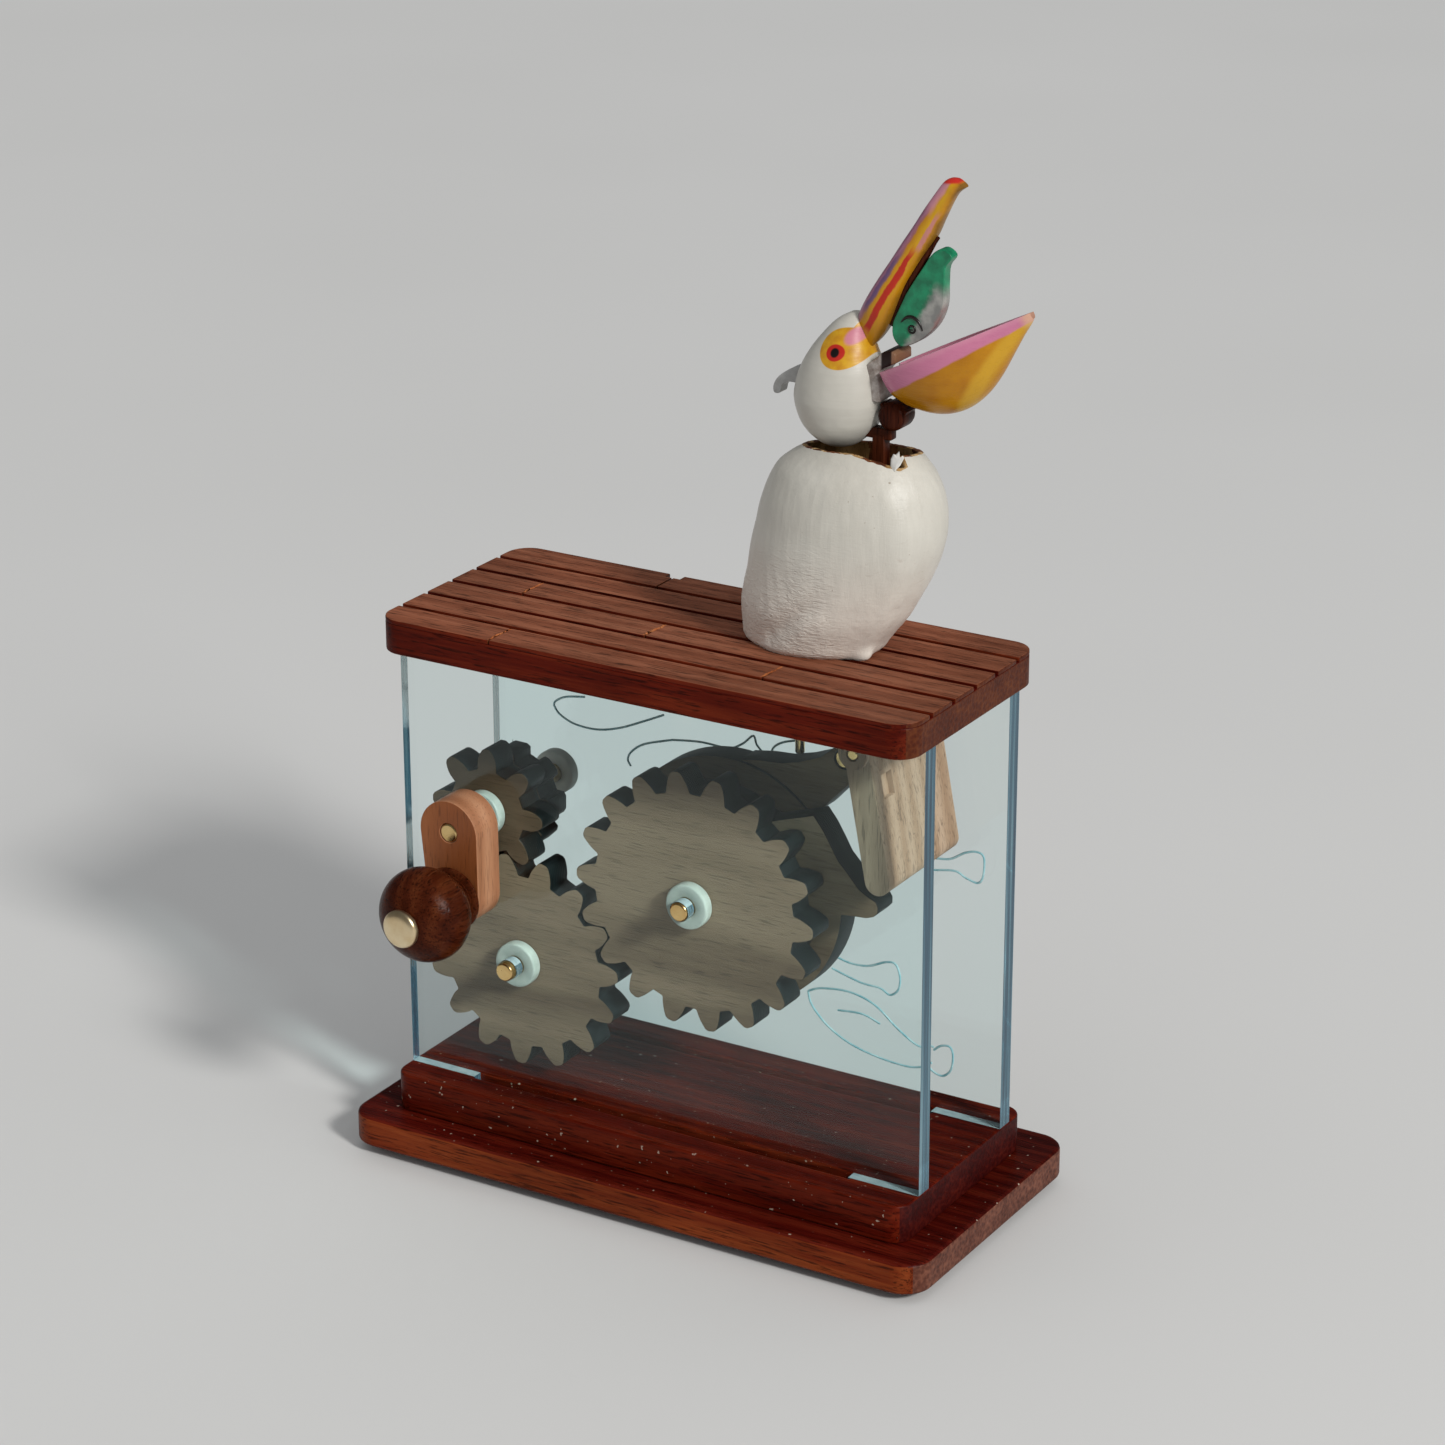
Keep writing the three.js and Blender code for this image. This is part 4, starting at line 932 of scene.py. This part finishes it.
# ---------------------------------------------------------------- pelican
BODY_BASE = Vector((26.4, BIRD_Y, 144.9))
BODY_SECTIONS = [(0, 17.0, 0), (1.2, 18.3, 0.3), (4.2, 19.5, 1.2), (9.7, 21.7, 3.3), (14, 22.6, 4.9),
                 (19.2, 23.4, 6.9), (25.8, 24.2, 8.9), (31, 24.2, 10.2), (36.2, 23.7, 10.9), (41.2, 22.3, 11.4),
                 (45, 20.5, 11.6), (47.5, 18.3, 12.2), (49.5, 16.0, 13.0), (51.2, 13.8, 13.5), (53, 11.2, 13.8),
                 (54.6, 8.6, 14)]
BODY_DEPTH = 0.74
WALL, LIP = 4.2, 1.3
HEAD_BASE = Vector((33.2, BIRD_Y, 195.3))
HEAD_SECTIONS = [(0, 1.0, 0), (0.9, 4.2, 0), (2.7, 6.7, 0), (4.9, 8.7, 0), (7.4, 10.1, 0.1), (11.1, 11.2, 0.2),
                 (13.6, 11.3, 0.3), (17.2, 10.8, 0.5), (21, 9.6, 0.9), (24.7, 7.8, 1.4), (28.5, 5.6, 2.3),
                 (31.5, 3.6, 3.4), (33.4, 1.2, 4.4)]
HEAD_DEPTH = 0.94


def egg_point(base, row, depth, angle, grow=0.0, square=2.0):
    """A point on a carved egg, in mm: row is (height, radius, lean)."""
    height, radius, lean = row
    c, s = math.cos(angle), math.sin(angle)
    k = (abs(c) ** square + abs(s) ** square) ** (-1 / square)
    return Vector((base.x + lean + (radius + grow) * c * k, base.y + (radius * depth + grow) * s * k,
                   base.z + height))


# The near edge of the mouth falls to a V and climbs again: X and Z in mm.
CHIP = [(41.5, 196.8), (48.2, 195.4), (53.4, 193.8), (56.2, 196.4), (57.0, 200.0)]


def over_rim(p):
    """True above the body's tilted mouth or inside the V cut in its near edge."""
    plane = 195.2 + (0.0518 * (p.x - 39.7) - 0.1478 * (p.y - BIRD_Y)) / 0.9876
    ragged = 0.16 * noise.noise(Vector((p.x * 0.9, p.y * 0.9, 3.1)))
    if p.z > plane + ragged:
        return True
    if not (-16 < p.y - BIRD_Y < -4.5 and CHIP[0][0] < p.x < CHIP[-1][0]):
        return False
    return p.z > float(np.interp(p.x, *zip(*CHIP))) + ragged


def mouth_fraction(angle, rows, grow):
    for i, row in enumerate(rows):
        if over_rim(egg_point(BODY_BASE, row, BODY_DEPTH, angle, grow)):
            return max(i - 0.5, 1)
    return len(rows) - 1


def unit(value):
    """Held between 0 and 1."""
    return max(0.0, min(1.0, value))


def bell(value, width):
    return math.exp(-(value / width) ** 2)


def row_at(rows, t):
    i = min(int(t), len(rows) - 2)
    return rows[i] + (rows[i + 1] - rows[i]) * (t - i)


def build_body():
    rows = smooth_curve(BODY_SECTIONS, 420)
    columns = 192
    outer_rows, rim_rows, inner_rows = 96, 5, 30
    rings = [[] for _ in range(outer_rows + rim_rows + inner_rows)]
    for j in range(columns):
        angle = 2 * math.pi * j / columns
        top = mouth_fraction(angle, rows, 0)
        inner_top = mouth_fraction(angle, rows, -LIP)
        for i in range(outer_rows):
            row = row_at(rows, top * i / (outer_rows - 1))
            p = egg_point(BODY_BASE, row, BODY_DEPTH, angle)
            n = Vector((math.cos(angle), math.sin(angle) / BODY_DEPTH, 0)).normalized()
            height = p.z - BODY_BASE.z
            carve = 0.12 * noise.noise(Vector((p.x * 0.5, p.y * 0.5, p.z * 0.12)))
            low = unit((26 - height) / 20)
            stroke = 0.10 * low * noise.noise(Vector(((p.x + p.z) * 1.5, p.y * 1.2, (p.x - p.z) * 0.45)))
            crease = (p.z - 148.5) - 0.72 * (p.x - 20)
            front = max(0.0, -math.sin(angle))
            inside = unit((p.x - 14) / 8) * unit((42 - p.x) / 14)
            fold = front * inside * (0.45 * bell(crease + 6, 4.0) - 1.05 * bell(crease, 3.0))
            turn = math.degrees(angle) - (336 - 20 * height / 50)
            ridge = 0.75 * bell(turn, 11) * unit((48 - height) / 12)
            drip = 2.0 * bell(turn, 7.5) * bell(height, 2.6)
            rings[i].append(p + n * (carve + stroke + fold + ridge + drip))
        rim_out = rings[outer_rows - 1][-1]
        row_in = row_at(rows, inner_top)
        rim_in = egg_point(BODY_BASE, row_in, BODY_DEPTH, angle, -LIP)
        for k in range(rim_rows):
            t = (k + 1) / (rim_rows + 1)
            p = rim_out.lerp(rim_in, t)
            rings[outer_rows + k].append(p + Vector((0, 0, 0.25 * math.sin(math.pi * t)
                                                     + 0.12 * noise.noise(p * 1.3))))
        for i in range(inner_rows):
            t = inner_top * (1 - i / (inner_rows - 1)) + 25 * i / (inner_rows - 1)
            thick = LIP + (WALL - LIP) * min(1.0, i / 6)
            p = egg_point(BODY_BASE, row_at(rows, t), BODY_DEPTH, angle, -thick)
            rings[outer_rows + rim_rows + i].append(p + Vector((0, 0, 0.3 * noise.noise(p * 0.6))))
    rings = [[at(*p) for p in ring] for ring in rings]
    obj = ring_skin("pelican_body_carving", rings, [M["body"], M["raw"], M["lip"]], 38)
    rim_start = columns * (outer_rows - 1)
    skin_end = columns * (outer_rows + rim_rows + inner_rows - 1)
    for p in obj.data.polygons:
        if rim_start <= p.index < skin_end:
            lip = p.index < rim_start + columns * (rim_rows + 1)
            stained = noise.noise(Vector((p.center.x * 260, p.center.y * 260, 7))) > 0.05
            p.material_index = 2 if lip and stained or noise.noise(p.center * 190) > 0.28 else 1
        elif p.index >= skin_end + columns:
            p.material_index = 1
    place(obj, "case", "white_paint", "pelican_body")


build_body()


def build_head():
    rows = smooth_curve(HEAD_SECTIONS, 72)
    columns = 112
    rings = []
    for row in rows:
        ring = []
        for j in range(columns):
            angle = 2 * math.pi * j / columns
            p = egg_point(HEAD_BASE, row, HEAD_DEPTH, angle)
            p += Vector((math.cos(angle), math.sin(angle), 0)) * 0.06 * noise.noise(p * 0.5)
            ring.append(at(*p))
        rings.append(ring)
    place(ring_skin("pelican_head_carving", rings, M["head"], 34), "head_group", "white_paint", "head")
    for node, name, body, slot, mat, bevel, segments in (
            ("crest", "pelican_crest", "head_group", "grey_paint", "crest", 0.9, 4),
            ("neck_pin", "neck_pin_rod", "case", "brass", "brass", 0.12, 2),
            ("neck_post", "neck_post_arm", "head_group", "knob_wood", "post", 0.4, 3),
            ("beak_block", "cheek_block", "head_group", "light_wood", "block", 0.35, 2),
            ("jaw_pin", "jaw_pin_rod", "head_group", "brass", "brass", 0.1, 2),
            ("jaw_bracket", "jaw_bracket_wood", "jaw", "knob_wood", "post", 0.4, 3)):
        node_piece(node, name, body, slot, M[mat], bevel=bevel, segments=segments)
    pin_lo, pin_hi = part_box("jaw_pin")
    knuckle = at(48.5, BIRD_Y, 205.3)
    front, back, r = pin_lo.y - 0.0003, pin_hi.y + 0.0003, 3.5 * MM
    profile = [(0, back), (r * 0.7, back), (r * 0.93, back - 0.0004), (r, back - 0.0012), (r, front + 0.0012),
               (r * 0.93, front + 0.0004), (r * 0.7, front), (0, front)]
    place(lathe_y("jaw_knuckle", knuckle, profile, M["post"], 40), "jaw", "knob_wood")
    lo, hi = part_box("neck_post")
    inset = 0.2 * MM
    left, right, front, back = lo.x + inset, hi.x - inset, lo.y + inset, hi.y - inset
    stem = [(left, front), (right, front), (right, back), (left, back)]
    place(prism("neck_post_top", stem, hi.z - MM, at(0, 0, 201.6).z, M["post"]), "head_group", "knob_wood")


build_head()

UPPER_EDGE = [(38.2, 226.0), (38.6, 228.6), (40.8, 232.9), (44.0, 238.1), (47.2, 242.9), (50.0, 247.3), (52.8, 251.5),
              (55.5, 255.8), (58.2, 259.7), (60.2, 262.4), (61.7, 263.5), (63.3, 263.7)]
MOUTH_EDGE = [(41.6, 220.6), (44.4, 223.4), (46.7, 227.0), (48.8, 232.0), (51.0, 237.2), (53.8, 242.0), (56.1, 245.7),
              (58.5, 249.4), (60.6, 254.0), (62.6, 258.1), (64.1, 260.4), (66.1, 261.9)]
BEAK_HALF = [1.2, 2.6, 3.6, 3.5, 3.2, 2.9, 2.7, 2.5, 2.3, 2.1, 2.0, 1.3]
RIM_START = Vector((46.2, 0, 215.5))
RIM_ALONG = Vector((0.893, 0, 0.45))
RIM_DOWN = Vector((0.45, 0, -0.893))
POUCH_SECTIONS = [(0.4, 7.2, 4.6), (3, 9.8, 6.4), (7, 12.6, 7.8), (11, 14.3, 8.6), (15, 14.9, 8.8), (19, 14.5, 8.4),
                  (23.5, 13.0, 7.4), (28, 10.5, 6.0), (33, 7.0, 4.2), (37.5, 3.8, 2.7), (40.4, 2.0, 1.6),
                  (41.8, 0.9, 0.9)]


def build_upper_beak():
    sections = [(*a, *b, h) for a, b, h in zip(UPPER_EDGE, MOUTH_EDGE, BEAK_HALF)]
    sides = 40
    rings = []
    for x0, z0, x1, z1, half in smooth_curve(sections, 66):
        ring = []
        for j in range(sides):
            t = 2 * math.pi * (j + 0.5) / sides
            c, s = math.cos(t), math.sin(t)
            c = math.copysign(abs(c) ** 0.72, c) / 2 + 0.5
            s = math.copysign(abs(s) ** 0.72, s) * half
            ring.append(at(x0 + (x1 - x0) * c, BIRD_Y + s, z0 + (z1 - z0) * c))
        rings.append(ring)
    place(ring_skin("upper_beak_carving", rings, M["upper"], 45), "head_group", "yellow_paint", "upper_beak")
    # A dark strip along the mouth edge: painted shadow on the underside of the upper beak.
    shade = [at(x + 0.3, BIRD_Y, z - 0.2) for x, z in smooth_curve(MOUTH_EDGE[2:8], 24)]
    radii = [0.5 + 0.75 * math.sin(math.pi * min(1.0, 0.15 + k / 26)) for k in range(25)]
    place(tube("upper_beak_mouth_shadow", shade, radii, M["post"], 12), "head_group", "knob_wood")


def pouch_ring(row, inset, lift, sides=44):
    s, deep, half = row
    base = RIM_START + RIM_ALONG * s + Vector((0, BIRD_Y, 0))
    deep, half = max(deep - inset, 0.3), max(half - inset, 0.3)
    ring = []
    for j in range(sides + 1):
        a = math.pi * j / sides
        ring.append(base + Vector((0, half * math.cos(a), 0)) + RIM_DOWN * deep * math.sin(a) ** 0.85)
    up = -RIM_DOWN * lift
    return [ring[0] + up] + ring + [ring[-1] + up]


def build_lower_beak():
    rows = smooth_curve(POUCH_SECTIONS, 64)
    outer = [pouch_ring(r, 0, 0.6) for r in rows]
    inner = [pouch_ring(r, 1.9 * min(1.0, (len(rows) - i) / 14), 0.6) for i, r in enumerate(rows)]
    inner = [[p + RIM_ALONG * (1.6 * (1 - i / len(rows)) - 1.6 * i / len(rows)) for p in ring]
             for i, ring in enumerate(inner)]
    n = len(outer[0])
    verts = [at(*p) for ring in outer for p in ring] + [at(*p) for ring in inner for p in ring]
    shift = len(rows) * n
    faces = grid_faces(len(rows), n, False)
    faces += [tuple(v + shift for v in f) for f in grid_faces(len(rows), n, False)]
    rims = [(i * n + j, (i + 1) * n + j) for i in range(len(rows) - 1) for j in (0, n - 1)]
    rims += [(i * n + j, i * n + j + 1) for i in (0, len(rows) - 1) for j in range(n - 1)]
    faces += [(a, b, b + shift, a + shift) for a, b in rims]
    place(mesh_object("lower_beak_carving", verts, faces, M["lower"], 50), "jaw", "ochre_paint", "lower_beak")


build_upper_beak()
build_lower_beak()


def build_fish():
    node_piece("fish", "caught_fish", "head_group", "green_paint", M["fish"], bevel=1.1, segments=4)
    for side in (-1, 1):
        y = BIRD_Y + side * 1.62
        eye = [at(53.1 + 0.85 * math.cos(t), y, 226.9 + 0.85 * math.sin(t)) for t in circle(20)]
        name = "front" if side < 0 else "back"
        place(tube(f"fish_eye_{name}", eye, 0.26, M["black"], 8, True), "head_group", "green_paint")
        spot = [at(53.0, y - side * 0.1, 226.8 - 0.1 + 0.2 * k) for k in range(2)]
        place(tube(f"fish_pupil_{name}", spot, 0.42, M["black"], 10), "head_group", "green_paint")
        brow = [at(x, y, z) for x, z in smooth_curve([(50.3, 228.3), (51.6, 229.6), (53.4, 229.8), (55.0, 228.7),
                                                      (55.9, 226.9)], 18)]
        radii = [0.14 + 0.30 * math.sin(math.pi * k / 18) for k in range(19)]
        place(tube(f"fish_brow_{name}", brow, radii, M["black"]), "head_group", "green_paint")


build_fish()


def build_flake():
    """The torn bit of paint that stands at the notch in the rim."""
    points = [(51.1, 0.5, 193.9), (52.4, 0.2, 193.9), (53.6, 0.8, 195.5), (54.3, 1.3, 197.2), (53.8, 1.6, 197.7),
              (53.2, 1.2, 197.2), (52.8, 1.6, 198.6), (52.1, 1.3, 197.7), (51.5, 1.1, 197.8), (51.0, 0.9, 196.6)]
    ring = [at(*p) for p in points]
    middle = sum(ring, Vector()) / len(ring)
    up = Vector((0.5, -0.8, 0.3)).normalized() * 0.6 * MM
    rows = [[middle + (p - middle) * k + up * h for p in ring]
            for k, h in ((0.6, -0.5), (1, -0.1), (0.8, 0.35), (0.35, 0.5))]
    place(ring_skin("paint_flake_rim", rows, M["flake"], 20), "case", "white_paint")


build_flake()


# ---------------------------------------------------------------- floor, light, camera
TOWARD_LIGHT = Vector((0.76, -0.32, 0.56)).normalized()
LAMP_WHITE = (1.0, 0.985, 0.96)


def build_stage():
    """A pale paper floor, a dim room, a broad key from the right and a soft lamp beside it."""
    me = bpy.data.meshes.new("floor")
    half = 9.0
    me.from_pydata([(-half, -half, 0), (half, -half, 0), (half, half, 0), (-half, half, 0)], [], [(0, 1, 2, 3)])
    s = Shade("floor_paper", rough=0.8, specular=0.15)
    cloud = s.noise(3, 2, 0.5)
    s.colour(s.ramp(cloud, [(0.3, (0.585, 0.583, 0.575)), (0.7, (0.605, 0.603, 0.596))]))
    me.materials.append(s.mat)
    add_object("floor", me)
    world = bpy.data.worlds.new("studio")
    bpy.context.scene.world = world
    world.use_nodes = True
    tree = world.node_tree
    room = tree.nodes["Background"]
    room.inputs[0].default_value = (0.97, 0.985, 1.0, 1)
    path = tree.nodes.new("ShaderNodeLightPath")
    # The room is a dark studio with broad soft lamps: little of it shows in gloss.
    dim = tree.nodes.new("ShaderNodeMapRange")
    dim.inputs["To Min"].default_value = 0.54
    dim.inputs["To Max"].default_value = 0.10
    tree.links.new(path.outputs["Is Glossy Ray"], dim.inputs["Value"])
    tree.links.new(dim.outputs[0], room.inputs[1])
    sun = bpy.data.lights.new("key", "SUN")
    sun.energy = 1.78
    sun.angle = math.radians(8)
    sun.color = LAMP_WHITE
    key = add_object("key", sun)
    near = bpy.data.lights.new("soft_key", "AREA")
    near.energy = 6.3
    near.size = 0.24
    near.color = LAMP_WHITE
    lamp = add_object("soft_key", near)
    lamp.location = TOWARD_LIGHT * 1.6
    key.rotation_euler = lamp.rotation_euler = TOWARD_LIGHT.to_track_quat("Z", "Y").to_euler()
    bpy.context.scene.view_settings.view_transform = "Standard"


def build_camera():
    """A long lens at the front right, looking a little down; its axes, then its place in metres."""
    data = bpy.data.cameras.new("camera")
    data.sensor_width = 36
    data.lens = 104.65
    data.clip_start = 0.05
    data.clip_end = 40
    cam = add_object("camera", data)
    right, up, forward = (Vector((0.85625, 0.51656, -0.00246)), Vector((-0.18281, 0.30747, 0.93383)),
                          Vector((-0.48313, 0.79914, -0.35770)))
    turn = Matrix((right, up, -forward)).transposed().to_4x4()
    cam.matrix_world = Matrix.Translation(Vector((0.503205, -0.814657, 0.490582))) @ turn
    bpy.context.scene.camera = cam


build_stage()
build_camera()
